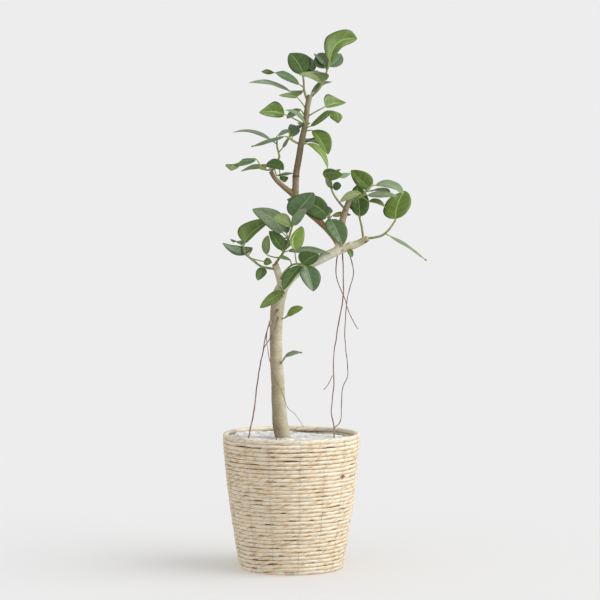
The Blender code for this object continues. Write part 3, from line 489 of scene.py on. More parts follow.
            [(167, -28, 727, 2.8), (182, -31, 729, 2.6), (199, -33, 734, 2.4), (213, -33, 746, 2.2),
             (225, -31, 763, 2)],
        ],
        [
            Leaf(MID, (227, -30, 769), (22, 42, 62), (-5, 0, 0), (-29, 0, -4), (28, -6, 3), (-34, -2, -2)),
            Leaf(PAINTED_SHEEN, (214, -36, 733), (79, -10, -53), (1, 0, 6), (0, 9, 1), (-3, -9, -5), curled=True),
        ],
        rear=2,
    ),
    "bough_leaf": Shoot(
        [
            [(127, -24, 703, 1.6), (129, -26, 698, 1.5)],
        ],
        [
            Leaf(MID, (126, -27, 703), (7, -12, -17), faces=FRONT + UP * 0.4, width=13),
        ],
    ),
    "trunk_leaf_upper": Shoot(
        [
            [(-26, -10, 622, 1.8), (-22, -20, 616, 1.7), (-17, -24, 609, 1.6)],
        ],
        [
            Leaf(MID, (-17, -25, 608), (-52, -24, -32), (1, 0, 4), (4, -7, -11), (-4, -2, 11)),
        ],
    ),
    "trunk_leaf_middle": Shoot(
        [
            [(-21, -5, 549, 1.6), (-12, -7, 553, 1.5)],
        ],
        [
            Leaf(FRESH_AND_PAINTED_LIT, (-10, -7, 557), (36, -20, 18), (-2, 0, 4), (-1, 9, 8), (2, -10, -8)),
        ],
    ),
    "trunk_leaf_lower": Shoot(
        [
            [(-25, -8, 450, 1.6), (-17, -15, 460, 1.5)],
        ],
        [
            Leaf(PAINTED_SHEEN, (-15, -16, 466), (36, -14, 11), faces=UP + FRONT * 0.8, width=17, curled=True),
        ],
    ),
}


# Lines, noise and meshes
def smooth_line(route, step=LIMB_STEP):
    """Points and radii along a Catmull-Rom curve through a limb's route, about a step apart."""
    stops = [(mm(row[:3]), row[3] / 1000) for row in route]
    first = (stops[0][0] * 2 - stops[1][0], stops[0][1])
    last = (stops[-1][0] * 2 - stops[-2][0], stops[-1][1])
    padded = [first] + stops + [last]
    line = []
    for i in range(1, len(padded) - 2):
        a, b, c, d = (padded[i + k][0] for k in (-1, 0, 1, 2))
        pieces = max(1, round((c - b).length / step))
        for j in range(pieces):
            t = j / pieces
            square = (2 * a - 5 * b + 4 * c - d) * t**2
            cube = (3 * b - a - 3 * c + d) * t**3
            place = 0.5 * (2 * b + (c - a) * t + square + cube)
            line.append((place, padded[i][1] * (1 - t) + padded[i + 1][1] * t))
    line.append(stops[-1])
    return line


def lengths_along(line):
    """How far along a line each of its points is."""
    along = [0.0]
    for (a, _), (b, _) in zip(line, line[1:]):
        along.append(along[-1] + (b - a).length)
    return along


def solid_section(line, start, end):
    """The stretch of a line between two shares of its length, as its solid has it, a small gap apart."""
    along = lengths_along(line)
    low = start * along[-1] + (SOLID_GAP / 2 if start > 0 else 0)
    high = end * along[-1] - (SOLID_GAP / 2 if end < 1 else 0)

    def at(distance):
        for i in range(len(line) - 1):
            if along[i + 1] >= distance:
                t = (distance - along[i]) / (along[i + 1] - along[i])
                return line[i][0].lerp(line[i + 1][0], t), line[i][1] * (1 - t) + line[i + 1][1] * t
        return line[-1]

    middle = [row for row, d in zip(line, along) if low + SOLID_CLEAR < d < high - SOLID_CLEAR]
    return [at(low)] + middle + [at(high)]


def wander(place, scale, seed=0.0):
    """Smooth noise from -1 to 1 at a place, with features about a scale wide."""
    return noise.noise(Vector(place) / scale + Vector((seed, seed * 1.7, -seed)))


def smooth_rise(value):
    """A share from 0 to 1 that starts and ends level."""
    share = min(1, max(0, value))
    return share * share * (3 - 2 * share)


def start_mesh():
    bm = bmesh.new()
    bm.loops.layers.uv.new(UV_MAP)
    return bm


def face_outward(bm):
    bmesh.ops.recalc_face_normals(bm, faces=bm.faces)


def add_object(name, data):
    thing = bpy.data.objects.new(name, data)
    bpy.context.scene.collection.objects.link(thing)
    return thing


def new_piece(name, bm, finishes, slot, *nodes):
    """Makes a bmesh a piece of the plant that stands for its CAD nodes."""
    face_outward(bm)
    mesh = bpy.data.meshes.new(name)
    bm.to_mesh(mesh)
    bm.free()
    mesh.shade_smooth()
    for surface in finishes:
        mesh.materials.append(surface)
    piece = add_object(name, mesh)
    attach(piece, "root")
    if nodes:
        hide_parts(*nodes)


def sheet_of(bm, across, along, place, surface=0):
    """A grid whose point at (u, v), each from 0 to 1, is moved to place(u, v)."""
    grid = bmesh.ops.create_grid(bm, x_segments=across, y_segments=along, size=0.5, calc_uvs=True)
    faces = {face for vert in grid["verts"] for face in vert.link_faces}
    for vert in grid["verts"]:
        vert.co = place(vert.co.x + 0.5, vert.co.y + 0.5)
    for face in faces:
        face.material_index = surface
    return grid["verts"]


def weld(bm, verts):
    bmesh.ops.remove_doubles(bm, verts=verts, dist=MERGE)


def thick_sheet(bm, across, along, place, thickness):
    """A sheet that closes on itself, given a thickness."""
    weld(bm, sheet_of(bm, across, along, place))
    face_outward(bm)
    bmesh.ops.solidify(bm, geom=bm.faces[:], thickness=thickness)


def tube_rows(line):
    """Indices of a line's steps, with the first and the last twice, to close the ends."""
    return [0] + list(range(len(line))) + [len(line) - 1]


def frames_along(line):
    """Two directions square to each step of a line, carried along it without a twist."""
    ways = []
    for i in range(len(line)):
        a = line[max(0, i - 1)][0]
        b = line[min(len(line) - 1, i + 1)][0]
        ways.append((b - a).normalized())
    side = ways[0].orthogonal().normalized()
    frames = []
    for way in ways:
        side = (side - way * side.dot(way)).normalized()
        frames.append((side, way.cross(side)))
    return frames


def roll(bm, line, sides, surface=0):
    """A closed tube: a grid rolled round a line, with its seam and both ends welded shut."""
    frames = frames_along(line)
    rows = tube_rows(line)

    def place(u, v):
        row = round(v * (len(rows) - 1))
        centre, radius = line[rows[row]]
        if row in (0, len(rows) - 1):
            return centre
        side, over = frames[rows[row]]
        turn = 2 * math.pi * u
        return centre + (side * math.cos(turn) + over * math.sin(turn)) * radius

    weld(bm, sheet_of(bm, sides, len(rows) - 1, place, surface))


# Finishes
class Finish:
    """A material's nodes, added one after another and led to its shader."""

    def __init__(self, name, colour, roughness, **sockets):
        self.material = bpy.data.materials.new(name)
        self.material.use_nodes = True
        self.material.diffuse_color = (*colour, 1)
        self.tree = self.material.node_tree
        self.shader = self.tree.nodes["Principled BSDF"]
        self.set("Base Color", (*colour, 1))
        self.set("Roughness", roughness)
        for socket, value in sockets.items():
            self.set(socket.replace("_", " "), value)

    def set(self, socket, value, node=None):
        target = (node or self.shader).inputs[socket]
        if isinstance(value, bpy.types.NodeSocket):
            self.tree.links.new(value, target)
        else:
            target.default_value = value

    def add(self, kind, settings, inputs, output=0):
        node = self.tree.nodes.new(kind)
        for key, value in settings.items():
            setattr(node, key, value)
        for key, value in inputs.items():
            self.set(key, value, node)
        return node.outputs[output]

    def place(self):
        return self.add("ShaderNodeTexCoord", {}, {}, "Object")

    def unwrapped(self):
        """The two coordinates of a piece's own UV map."""
        both = self.add("ShaderNodeUVMap", {"uv_map": UV_MAP}, {})
        return [self.add("ShaderNodeSeparateXYZ", {}, {0: both}, axis) for axis in "XY"]

    def maths(self, operation, a, b=0.0, c=0.0):
        return self.add("ShaderNodeMath", {"operation": operation}, {0: a, 1: b, 2: c})

    def times(self, a, b):
        return self.maths("MULTIPLY", a, b)

    def total(self, a, b):
        return self.maths("ADD", a, b)

    def less(self, a, b):
        return self.maths("SUBTRACT", a, b)

    def from_half(self, value):
        """How far a value is from the middle of its whole step, 0 to 0.5."""
        return self.maths("ABSOLUTE", self.less(self.maths("FRACT", value), 0.5))

    def point(self, x, y, z=0.0):
        return self.add("ShaderNodeCombineXYZ", {}, {0: x, 1: y, 2: z})

    def stretch(self, vector, scale):
        return self.add("ShaderNodeMapping", {}, {"Vector": vector, "Scale": scale})

    def cloud(self, vector, scale, detail=3.0):
        inputs = {"Vector": vector, "Scale": scale, "Detail": detail}
        return self.add("ShaderNodeTexNoise", {}, inputs, "Fac")

    def cells(self, vector, scale, **settings):
        return self.add("ShaderNodeTexVoronoi", settings, {"Vector": vector, "Scale": scale}, "Distance")

    def between(self, value, low, high, start=0.0, end=1.0):
        """A smooth rise of value from low to high, as a share from start to end."""
        ends = {"From Min": low, "From Max": high, "To Min": start, "To Max": end}
        return self.add("ShaderNodeMapRange", {"interpolation_type": "SMOOTHSTEP"}, {"Value": value, **ends})

    def mix(self, share, a, b, blend="MIX"):
        a = a if isinstance(a, bpy.types.NodeSocket) else (*a, 1)
        b = b if isinstance(b, bpy.types.NodeSocket) else (*b, 1)
        settings = {"data_type": "RGBA", "blend_type": blend}
        return self.add("ShaderNodeMix", settings, {0: share, 6: a, 7: b}, 2)

    def tint(self, colour, tone):
        return self.mix(1.0, colour, tone, "MULTIPLY")

    def colour(self, colour):
        self.set("Base Color", colour)

    def bump(self, height, distance, strength):
        inputs = {"Height": height, "Distance": distance, "Strength": strength}
        self.set("Normal", self.add("ShaderNodeBump", {}, inputs))


def straw_finish(name, straw, tan, shade, pale):
    """Straw rope: fibres that run round the coil on a long lay, with tan lengths, dark seams between strands
    that are partly painted shade, and painted shade in the grooves between courses.
    """
    finish = Finish(name, straw, 0.82)
    along, around = finish.unwrapped()
    lay = finish.less(around, finish.times(along, 1 / STRAND_LAY))

    def streaks(length, count, offset):
        spot = finish.point(finish.maths("DIVIDE", along, length), finish.times(lay, count), offset)
        return finish.cloud(spot, 1.0, 4)

    fibres = streaks(0.012, 26.0, 0.0)
    patches = streaks(0.03, 5.0, 3.0)
    lengths = streaks(0.07, 2.5, 7.0)
    crease = finish.between(finish.from_half(finish.times(lay, STRANDS)), 0.4, 0.5)
    # where the rope meets the courses above and below; painted shade is laid in there
    groove = finish.between(finish.from_half(finish.times(around, 2)), 0.02, 0.2, 1, 0)
    # dark seams in stretches of the creases between strands, partly painted shade
    seam_and_crease_shade = finish.times(crease, finish.between(streaks(0.016, 1.5, 11.0), 0.5, 0.62))
    colour = finish.mix(finish.between(patches, 0.48, 0.66, 0, 0.8), straw, tan)
    colour = finish.mix(finish.between(lengths, 0.46, 0.62, 0, 0.75), colour, pale)
    colour = finish.mix(finish.between(fibres, 0.34, 0.46, 0.6, 0), colour, tan)
    colour = finish.mix(finish.times(seam_and_crease_shade, 0.7), colour, shade)
    # painted shade: brown to near black in the grooves between courses, broken by the fibres
    brown = finish.mix(finish.between(lengths, 0.4, 0.55), shade, tan)
    deep = finish.times(groove, finish.between(fibres, 0.35, 0.65, 0.9, 0.4))
    finish.colour(finish.mix(deep, colour, brown))
    finish.bump(finish.less(fibres, finish.times(seam_and_crease_shade, 0.8)), 0.0012, 0.9)
    return finish.material


def thread_finish():
    finish = Finish("binding_thread", (0.78, 0.76, 0.72), 0.7)
    along, around = finish.unwrapped()
    twist = finish.maths("SINE", finish.total(finish.times(along, 60), finish.times(around, 2 * math.pi)))
    finish.colour(finish.mix(finish.between(twist, -1, 1), (0.42, 0.4, 0.36), (0.66, 0.63, 0.6)))
    finish.bump(twist, 0.0002, 0.6)
    return finish.material


def film_finish():
    """Clear film gone milky with creases."""
    finish = Finish("crumpled_clear_film", (0.78, 0.78, 0.78), 0.22, Specular_IOR_Level=0.6)
    place = finish.place()
    creases = finish.cells(place, 60.0, feature="DISTANCE_TO_EDGE")
    haze = finish.cloud(place, 45.0, 5)
    colour = finish.mix(finish.between(haze, 0.35, 0.65), (0.46, 0.45, 0.42), (0.8, 0.79, 0.77))
    finish.colour(finish.mix(finish.between(creases, 0.0, 0.05, 0.7, 0), colour, (0.9, 0.9, 0.89)))
    finish.bump(finish.total(creases, finish.times(haze, 0.6)), 0.004, 0.8)
    return finish.material


def soil_finish():
    finish = Finish("dark_potting_soil", (0.06, 0.04, 0.028), 0.95)
    place = finish.place()
    grains = finish.cells(place, 350.0)
    damp = finish.cloud(place, 60.0, 4)
    colour = finish.mix(finish.between(damp, 0.35, 0.65), (0.03, 0.02, 0.014), (0.1, 0.07, 0.05))
    finish.colour(finish.mix(finish.between(grains, 0.3, 0.7, 0, 0.5), colour, (0.16, 0.12, 0.09)))
    finish.bump(grains, 0.002, 1.0)
    return finish.material


def bark_finish():
    """Smooth pale bark: cloudy, freckled, and crossed by fine rings that follow each limb."""
    finish = Finish("ringed_pale_bark", (0.5, 0.46, 0.36), 0.78)
    base = finish.add("ShaderNodeAttribute", {"attribute_name": "bark_tone"}, {}, "Color")
    place = finish.place()
    along = finish.unwrapped()[1]
    clouds = finish.cloud(place, 38.0, 5)
    grain = finish.cloud(place, 420.0, 4)
    rings = finish.cloud(finish.point(finish.times(along, 260), finish.cloud(place, 60.0, 2)), 1.0, 3)
    freckles = finish.cells(finish.stretch(place, (1, 1, 2.2)), 150.0)
    mossy = finish.tint(base, (0.62, 0.6, 0.42))
    ringed = finish.tint(base, (0.5, 0.45, 0.34))
    colour = finish.mix(finish.between(clouds, 0.35, 0.68, 0, 0.55), base, mossy)
    colour = finish.mix(finish.between(rings, 0.56, 0.7, 0, 0.3), colour, ringed)
    colour = finish.mix(finish.between(freckles, 0.12, 0.2, 0.35, 0), colour, (0.7, 0.66, 0.55))
    grainy = finish.between(grain, 0.3, 0.7, 0.0, 0.25)
    finish.colour(finish.mix(grainy, colour, (0.85, 0.83, 0.75), "OVERLAY"))
    finish.bump(finish.total(rings, grain), 0.0006, 0.6)
    return finish.material


def streaked_finish(name, plain, roughness, tones, drawn_out, scale, low, high, strength):
    """A skin of two tones in fine upright streaks; plain is its colour where no pattern is drawn."""
    finish = Finish(name, plain, roughness)
    streaks = finish.cloud(finish.stretch(finish.place(), (1, 1, drawn_out)), scale, 3)
    finish.colour(finish.mix(finish.between(streaks, low, high), *tones))
    finish.bump(streaks, 0.0004, strength)
    return finish.material


def root_finish():
    tones = ((0.12, 0.06, 0.06), (0.32, 0.2, 0.17))
    return streaked_finish("aerial_root_bark", (0.2, 0.11, 0.1), 0.75, tones, 0.15, 300.0, 0.35, 0.65, 0.6)


def twig_finish(name, young, old):
    """A green twig or stalk with a faintly ridged skin."""
    return streaked_finish(name, young, 0.55, (young, old), 0.3, 260.0, 0.4, 0.65, 0.5)


def leaf_finish(name, blade, vein, roughness, raised=False):
    """A leathery blade: midrib, arching side veins and a fine mottle, placed by the leaf's own UV."""
    finish = Finish(name, blade, roughness)
    across, along = finish.unwrapped()
    off = finish.maths("ABSOLUTE", finish.less(finish.times(across, 2), 1))
    midrib = finish.between(off, 0.015, 0.07, 0.85, 0)
    # the right half's veins stand between those of the left
    shift = finish.times(finish.maths("GREATER_THAN", across, 0.5), 0.45)
    climb = finish.times(finish.maths("POWER", off, VEIN_CURVE), VEIN_CLIMB)
    near = finish.from_half(finish.total(finish.times(finish.less(along, climb), VEIN_PAIRS), shift))
    side = finish.times(finish.between(near, 0.4, 0.49), finish.between(off, 0.5, 0.95, 0.24, 0))
    veins = finish.maths("MAXIMUM", midrib, side)
    place = finish.place()
    mottle = finish.cloud(place, 90.0, 4)
    fine = finish.cloud(place, 700.0, 2)
    shaded = finish.tint(blade, (0.62, 0.74, 0.6))
    colour = finish.mix(finish.between(mottle, 0.3, 0.7, 0, 0.5), blade, shaded)
    finish.colour(finish.mix(veins, colour, vein))
    finish.set("Roughness", finish.between(fine, 0.3, 0.7, roughness - 0.06, roughness + 0.08))
    ribs = finish.times(veins, 1.0 if raised else -1.0)
    quilt = finish.times(finish.between(near, 0.0, 0.5), -0.5)
    finish.bump(finish.total(finish.total(ribs, quilt), finish.times(fine, 0.1)), 0.0005, 0.55)
    return finish.material


# Basket, film and soil
def outer_radius(height):
    """Radius of the basket over its rope courses, which bellies a little."""
    return FOOT_RADIUS + WALL_SPREAD * height - WALL_BELLY * height**2


def round_basket(degrees, radius, height):
    """A place at an angle from the front towards the right, a radius and a height."""
    angle = math.radians(degrees - 90)
    return Vector((math.cos(angle) * radius, math.sin(angle) * radius, height))


def level_step(turns):
    """A screw made level: flat round a turn, then a quick rise, less the even rise."""
    share = turns % 1
    return smooth_rise((share - 1 + COIL_RISE) / COIL_RISE) - share


def coil_height(turns):
    """Height of the rope's middle after some turns, level at the foot and at the rim."""
    left = COIL_TURNS - turns
    low = max(0, 1 - turns / COIL_BLEND) * level_step(turns)
    high = max(0, 1 - left / COIL_BLEND) * level_step(left)
    return COIL_PITCH * (0.5 + turns + low - high)


def stitch_pinch(degrees):
    """How close an angle is to a column of stitches, from 0 to 1."""
    near = min(abs((degrees - column + 180) % 360 - 180) for column in STITCH_COLUMNS)
    return max(0, 1 - near / STITCH_PINCH)


def twisted(distance, turn):
    """Relief of a rope's strands at a distance along it and an angle round it."""
    wave = math.cos(STRANDS * (turn - 2 * math.pi * distance / STRAND_LAY) + math.pi)
    return 1 - 2 * ((1 + wave) / 2) ** 4


def rope_tube(bm, steps, sides):
    """A rope from steps of (middle, outward, length, half depth, half height), twisted and closed."""
    rows = tube_rows(steps)
    uv = bm.loops.layers.uv.active

    def place(u, v):
        row = round(v * (len(rows) - 1))
        middle, outward, length, depth, height = steps[rows[row]]
        if row in (0, len(rows) - 1):
            return middle
        turn = 2 * math.pi * u
        lumps = ROPE_LUMPS * wander((length * 90, turn * 1.6, 0), 1.0)
        fuzz = 1 + STRAND_RELIEF * twisted(length, turn) + lumps
        across, over = math.cos(turn), math.sin(turn)
        square = (abs(across) ** ROPE_SQUARE + abs(over) ** ROPE_SQUARE) ** (-1 / ROPE_SQUARE)
        return middle + (outward * across * depth + UP * over * height) * square * fuzz

    verts = sheet_of(bm, sides, len(rows) - 1, place)
    # each loop's coordinates become the distance along the rope and the share round it
    for face in {face for vert in verts for face in vert.link_faces}:
        for loop in face.loops:
            around, row = loop[uv].uv
            loop[uv].uv = (steps[rows[round(row * (len(rows) - 1))]][2], around)
    weld(bm, verts)


def coil_steps(first, last):
    """Steps of the rope between two counts of turns; past the coil's ends it tapers into the wedge."""
    steps = []
    length = 0.0
    turns = first
    roof = BASKET_HEIGHT - RIM_ROPE
    while turns < last:
        degrees = COIL_START + turns * 360
        way = round_basket(degrees, 1, 0)
        here = (way.x, way.y, turns)
        thin = wander(here, 0.21, 5.0)
        pinch = stitch_pinch(degrees)
        end = min(1, (turns - first) / COIL_BLUNT, (last - turns) / COIL_BLUNT)
        end = COIL_CUT + (1 - COIL_CUT) * end
        gap = max(0, wander((way.x, way.y, turns * 3.3), 0.2, 12.0) - 0.25) * (1 - pinch)
        gap = min(GAP_MOST, 1.8 * gap * (1.6 - min(1, abs(turns - GAP_TURNS[0]) / GAP_TURNS[1])))
        half_height = COIL_PITCH / 2 * (1.02 + 0.06 * thin - 0.05 * pinch - gap) * end
        height = coil_height(turns) + COIL_PITCH / 2 * gap
        if turns < 0:
            height = (coil_height(turns + 1) - COIL_PITCH / 2) / 2
            half_height = max(0.0006, height)
        if turns > COIL_TURNS:
            under = coil_height(turns - 1) + COIL_PITCH / 2
            height = (roof + under) / 2
            half_height = max(0.0006, (roof - under) / 2 + 0.0003)
        radius = outer_radius(height) - COIL_DEPTH / 2 - STITCH_BITE * pinch
        radius += COIL_STRAY[0] * wander(here, 0.33, 1.0)
        height = max(half_height * 1.15, height + COIL_STRAY[1] * wander(here, 0.3, 9.0))
        depth = COIL_DEPTH / 2 * (1 + 0.08 * thin) * end
        steps.append((way * radius + UP * height, way, length, depth, half_height))
        turns += COIL_STEP / (2 * math.pi * radius)
        length += COIL_STEP
    return steps


def make_coil(straw, shade):
    """The wall: one rope from the foot's front, coiled up to the rim, over a dark inner sheet of painted
    shade that shows through the gaps between courses.
    """
    bm = start_mesh()
    rope_tube(bm, coil_steps(0, COIL_TURNS + COIL_TAIL), COIL_SIDES)
    rope_tube(bm, coil_steps(-COIL_TAIL, -COIL_NOTCH), COIL_SIDES)
    new_piece("basket_coil", bm, [straw], "straw_rope", "basket")

    flat = []
    length = 0.0
    radius = FOOT_ROPE_START
    angle = 0.0
    while radius < outer_radius(0) - FOOT_ROPE_INSET:
        way = round_basket(angle, 1, 0)
        flat.append((way * radius + UP * FOOT_ROPE_MIDDLE, way, length, *FOOT_ROPE_HALVES))
        step = FOOT_ROPE_STEP / max(radius, FOOT_ROPE_STEP)
        angle += math.degrees(step)
        radius += FOOT_ROPE * step / (2 * math.pi)
        length += FOOT_ROPE_STEP
    bm = start_mesh()
    rope_tube(bm, flat, 8)
    new_piece("basket_foot_coil", bm, [straw], "straw_rope", "basket")

    # the dark sheet inside the coil: painted shade, seen through the gaps between courses
    def shade_sheet_at(u, v):
        height = SHADE_SHEET_FOOT + v * (BASKET_HEIGHT - RIM_ROPE - 0.002 - SHADE_SHEET_FOOT)
        return round_basket(u * 360, outer_radius(height) - COIL_DEPTH * 0.62, height)

    bm = start_mesh()
    thick_sheet(bm, 72, 40, shade_sheet_at, SHADE_SHEET)
    new_piece("painted_shade_inner_sheet", bm, [shade], "straw_rope", "basket")


def make_frays(straw):
    """Short ends of straw that stand out of the coil here and there."""
    bm = start_mesh()
    draw = random.Random(SEED + 2)
    for _ in range(FRAYS):
        turns = draw.uniform(0.3, COIL_TURNS - 0.3)
        degrees = COIL_START + turns * 360
        height = coil_height(turns) + draw.uniform(-0.3, 0.3) * COIL_PITCH
        way = draw.choice((-1, 1)) * math.degrees(draw.uniform(*FRAY_LENGTH) / outer_radius(height))
        lift = draw.uniform(*FRAY_LIFT)
        out = draw.uniform(*FRAY_OUT)
        rows = []
        for k in range(5):
            t = k / 4
            reach = outer_radius(height) - 0.0008 + (0.0008 + out) * t**1.4
            place = round_basket(degrees + way * t, reach, height + lift * t * t)
            rows.append((place, FRAY_RADIUS * (1 - 0.6 * t)))
        roll(bm, rows, 4)
    new_piece("basket_frays", bm, [straw], "straw_rope", "basket")


def make_rim(rim):
    """The thicker rope on the wall, whose end lies inside its own start at the back right."""
    steps = []
    length = 0.0
    for i in range(RIM_STEPS + 1):
        share = i / RIM_STEPS
        degrees = RIM_START + RIM_SWEEP * share
        over = max(0, 1 - RIM_SWEEP * (1 - share) / RIM_INWARD)
        end = min(1, share / 0.012, (1 - share) / 0.03)
        size = RIM_ROPE / 2 * (0.3 + 0.7 * end)
        way = round_basket(degrees, 1, 0)
        radius = RIM_RADIUS - 0.0004 - RIM_SHIFT * smooth_rise(over) + 0.0006 * wander(way, 0.5, 3.0)
        height = BASKET_HEIGHT - RIM_ROPE / 2 - 0.0007 - RIM_SINK * over + 0.0005 * wander(way, 0.4, 8.0)
        depth = size * (0.94 + 0.05 * wander(way, 0.3, 2.0))
        steps.append((way * radius + UP * height, way, length, depth, size * 0.97))
        length += math.radians(RIM_SWEEP) * RIM_RADIUS / RIM_STEPS
    bm = start_mesh()
    rope_tube(bm, steps, RIM_SIDES)
    new_piece("rim_coil", bm, [rim], "rim_rope", "basket_rim")


def make_stitches(thread):
    """Binding thread: one short stitch over each course in each column, and over the rim."""
    bm = start_mesh()
    draw = random.Random(SEED)
    for column in STITCH_COLUMNS:
        turns = ((column - COIL_START) % 360) / 360
        while turns < COIL_TURNS:
            height = coil_height(turns)
            lean = draw.uniform(-1.6, 1.6)
            shift = draw.uniform(-0.5, 0.5)
            radius = outer_radius(height) - COIL_DEPTH / 2
            line = []
            for k in range(6):
                t = -1 + 2 * k / 5
                swing = t * math.radians(STITCH_TURN)
                reach = radius + math.cos(swing) * COIL_DEPTH / 2 * 1.02
                lift = max(2 * THREAD, height + math.sin(swing) * COIL_PITCH / 2 * 1.02)
                line.append((round_basket(column + shift + lean * t, reach, lift), THREAD))
            roll(bm, line, 4)
            turns += 1
        line = []
        lean = draw.uniform(2, 4)
        for k in range(13):
            turn = math.radians(-110 + 320 * k / 12)
            reach = RIM_RADIUS + math.cos(turn) * RIM_ROPE / 2 * 0.96
            lift = BASKET_HEIGHT - RIM_ROPE / 2 - 0.0006 + math.sin(turn) * RIM_ROPE / 2 * 0.95
            line.append((round_basket(column + lean * (k / 12 - 0.5), reach, lift), THREAD))
        roll(bm, line, 4)
    new_piece("basket_stitches", bm, [thread], "straw_rope", "basket")


def make_knot(knot):
    """The brown knot where one stitch thread ends on the right, with its two short ends."""
    bm = start_mesh()

    def spot(degrees, height, out):
        return round_basket(KNOT_AT[0] + degrees, outer_radius(KNOT_AT[1]) + out, KNOT_AT[1] + height)

    loops = []
    for k in range(28):
        turn = k / 27 * 4 * math.pi
        height = 0.0017 * math.sin(turn) + 0.0009 * math.sin(turn * 1.5)
        proud = 0.0006 + 0.0014 * math.sin(turn * 1.5 + 1)
        loops.append((spot(1.1 * math.cos(turn), height, proud), 0.0012))
    across = [(spot(-3.6 + 2.1 * k, 0.0008 * math.sin(k * 2.0), 0.0008), 0.0013) for k in range(4)]
    down = [(spot(-0.3 - 0.35 * k, -0.0018 * k, 0.001), 0.001 - 0.0001 * k) for k in range(4)]
    for line in (loops, across, down):
        roll(bm, line, 6)
    new_piece("thread_knot", bm, [knot], "straw_rope", "basket")


def make_film(film):
    """A crumpled sheet from the trunk to the wall, creased, with its edge turned up in places."""
    foot_row = TRUNK_LINE[1]
    foot = mm((foot_row[0], foot_row[1], 0))
    foot_radius = foot_row[3] / 1000

    def place(u, v):
        angle = 2 * math.pi * u
        way = Vector((math.cos(angle), math.sin(angle), 0))
        inner = foot + way * foot_radius * 0.9
        short = max(0, math.cos(angle - BACK_RIGHT)) ** 6 * FILM_SHORT
        spot = inner.lerp(way * FILM_RADIUS - way * short, v)
        ridge = 1 - abs(wander(spot, 0.026, 4.0)) * 2
        small = 1 - abs(wander(spot, 0.011, 2.0)) * 2
        parts = (ridge, small, wander(spot, 0.06, 6.0))
        rise = sum(part * depth for part, depth in zip(parts, FILM_RELIEF))
        edge = max(0, (v - 0.8) / 0.2)
        front_left = 0.5 + 0.5 * math.cos(angle - FRONT_LEFT)
        rise += edge**2 * (FILM_EDGE[0] + FILM_EDGE[1] * front_left)
        rise += max(0, 1 - v / 0.12) * FILM_UP_TRUNK
        height = FILM_TOP - 0.0006 + rise
        if short > FILM_SHORT / 4:
            height -= edge**2 * 0.0035
        return spot + UP * max(height, SOIL_TOP + 0.0012)

    bm = start_mesh()
    thick_sheet(bm, 150, 46, place, FILM_THICKNESS)
    new_piece("crumpled_film", bm, [film], "clear_film", "liner_film")


def make_soil_crumbs(soil):
    """Small lumps of soil at the back right, where the film stops short of the wall."""
    bm = start_mesh()
    draw = random.Random(SEED + 1)
    for _ in range(CRUMBS):
        angle = BACK_RIGHT + draw.gauss(0, 0.5)
        radius = draw.uniform(*CRUMB_RING)
        size = draw.uniform(*CRUMB_RADIUS)
        lump = bmesh.ops.create_icosphere(bm, subdivisions=1, radius=size)
        spot = Vector((math.cos(angle) * radius, math.sin(angle) * radius, SOIL_TOP + size * 0.5))
        for vert in lump["verts"]:
            vert.co *= 1 + 0.3 * wander(vert.co, size * 0.8, angle * 9)
            vert.co += spot
    new_piece("soil_crumbs", bm, [soil], "potting_soil")


# Wood: tones along each limb, each at a share of its length.
LIMB_TONES = {
    "trunk": [
        (0, (0.25, 0.21, 0.12)), (0.12, (0.34, 0.3, 0.19)), (0.35, (0.44, 0.39, 0.265)),
        (0.55, (0.46, 0.415, 0.29)), (0.7, (0.76, 0.73, 0.61)), (0.9, (0.74, 0.69, 0.55)),
        (1, (0.36, 0.33, 0.18)),
    ],
    "leader_limb": [
        (0, (0.5, 0.37, 0.22)), (0.3, (0.32, 0.2, 0.1)), (0.6, (0.3, 0.21, 0.11)), (1, (0.25, 0.19, 0.11)),
    ],
    "leader": [
        (0, (0.27, 0.22, 0.14)), (0.3, (0.2, 0.15, 0.09)), (0.7, (0.2, 0.16, 0.09)), (1, (0.24, 0.22, 0.11)),
    ],
    "riser": [(0, (0.5, 0.43, 0.3)), (0.4, (0.31, 0.24, 0.15)), (1, (0.28, 0.21, 0.13))],
    "low_stub": [
        (0, (0.6, 0.54, 0.42)), (0.6, (0.66, 0.6, 0.49)), (0.9, (0.6, 0.5, 0.38)), (1, (0.38, 0.2, 0.12)),
    ],
}
# Scars and knobs on the bark: middle, size and rise in millimetres, and tone.
BARK_MARKS = [
    ((-31, -14, 569), 5, -0.6, (0.12, 0.09, 0.06)),
    ((-29, -15, 552), 5, -0.6, (0.12, 0.09, 0.06)),
    ((-47, -4, 541), 9, 4.5, (0.6, 0.5, 0.34)),
    ((-44, -6, 575), 4, 1.6, (0.3, 0.22, 0.13)),
    ((-12, -12, 622), 6, 1.2, (0.34, 0.28, 0.18)),
    ((-36, -11, 671), 6, 0.4, (0.24, 0.1, 0.06)),
    ((100, -15, 710), 9, 1.8, (0.66, 0.6, 0.46)),
    ((112, -24, 700), 6, 0.8, (0.42, 0.34, 0.22)),
    ((128, -20, 717), 8, 1.8, (0.68, 0.63, 0.5)),
    ((147, -20, 716), 8, 1.6, (0.62, 0.56, 0.42)),
    ((160, -22, 729), 8, 2.2, (0.7, 0.66, 0.55)),
    ((163, -30, 719), 5, -0.5, (0.16, 0.1, 0.05)),
    ((-19, -6, 838), 5, 0.8, (0.09, 0.06, 0.035)),
    ((-34, 6, 860), 5, 0.8, (0.09, 0.06, 0.035)),
    ((5, -8, 812), 6, 0.9, (0.2, 0.15, 0.09)),
    ((21, -2, 906), 5, 0.8, (0.12, 0.08, 0.05)),
    ((26, -2, 957), 5, 0.8, (0.13, 0.1, 0.05)),
    ((118, -26, 788), 5, 0.7, (0.2, 0.13, 0.08)),
]
LEADER_RING = (0.8625, 0.0035)  # height and half width of the dark ring round the leader
LEADER_RING_RISE = 0.0006
LEADER_RING_TONE = (0.06, 0.045, 0.03)
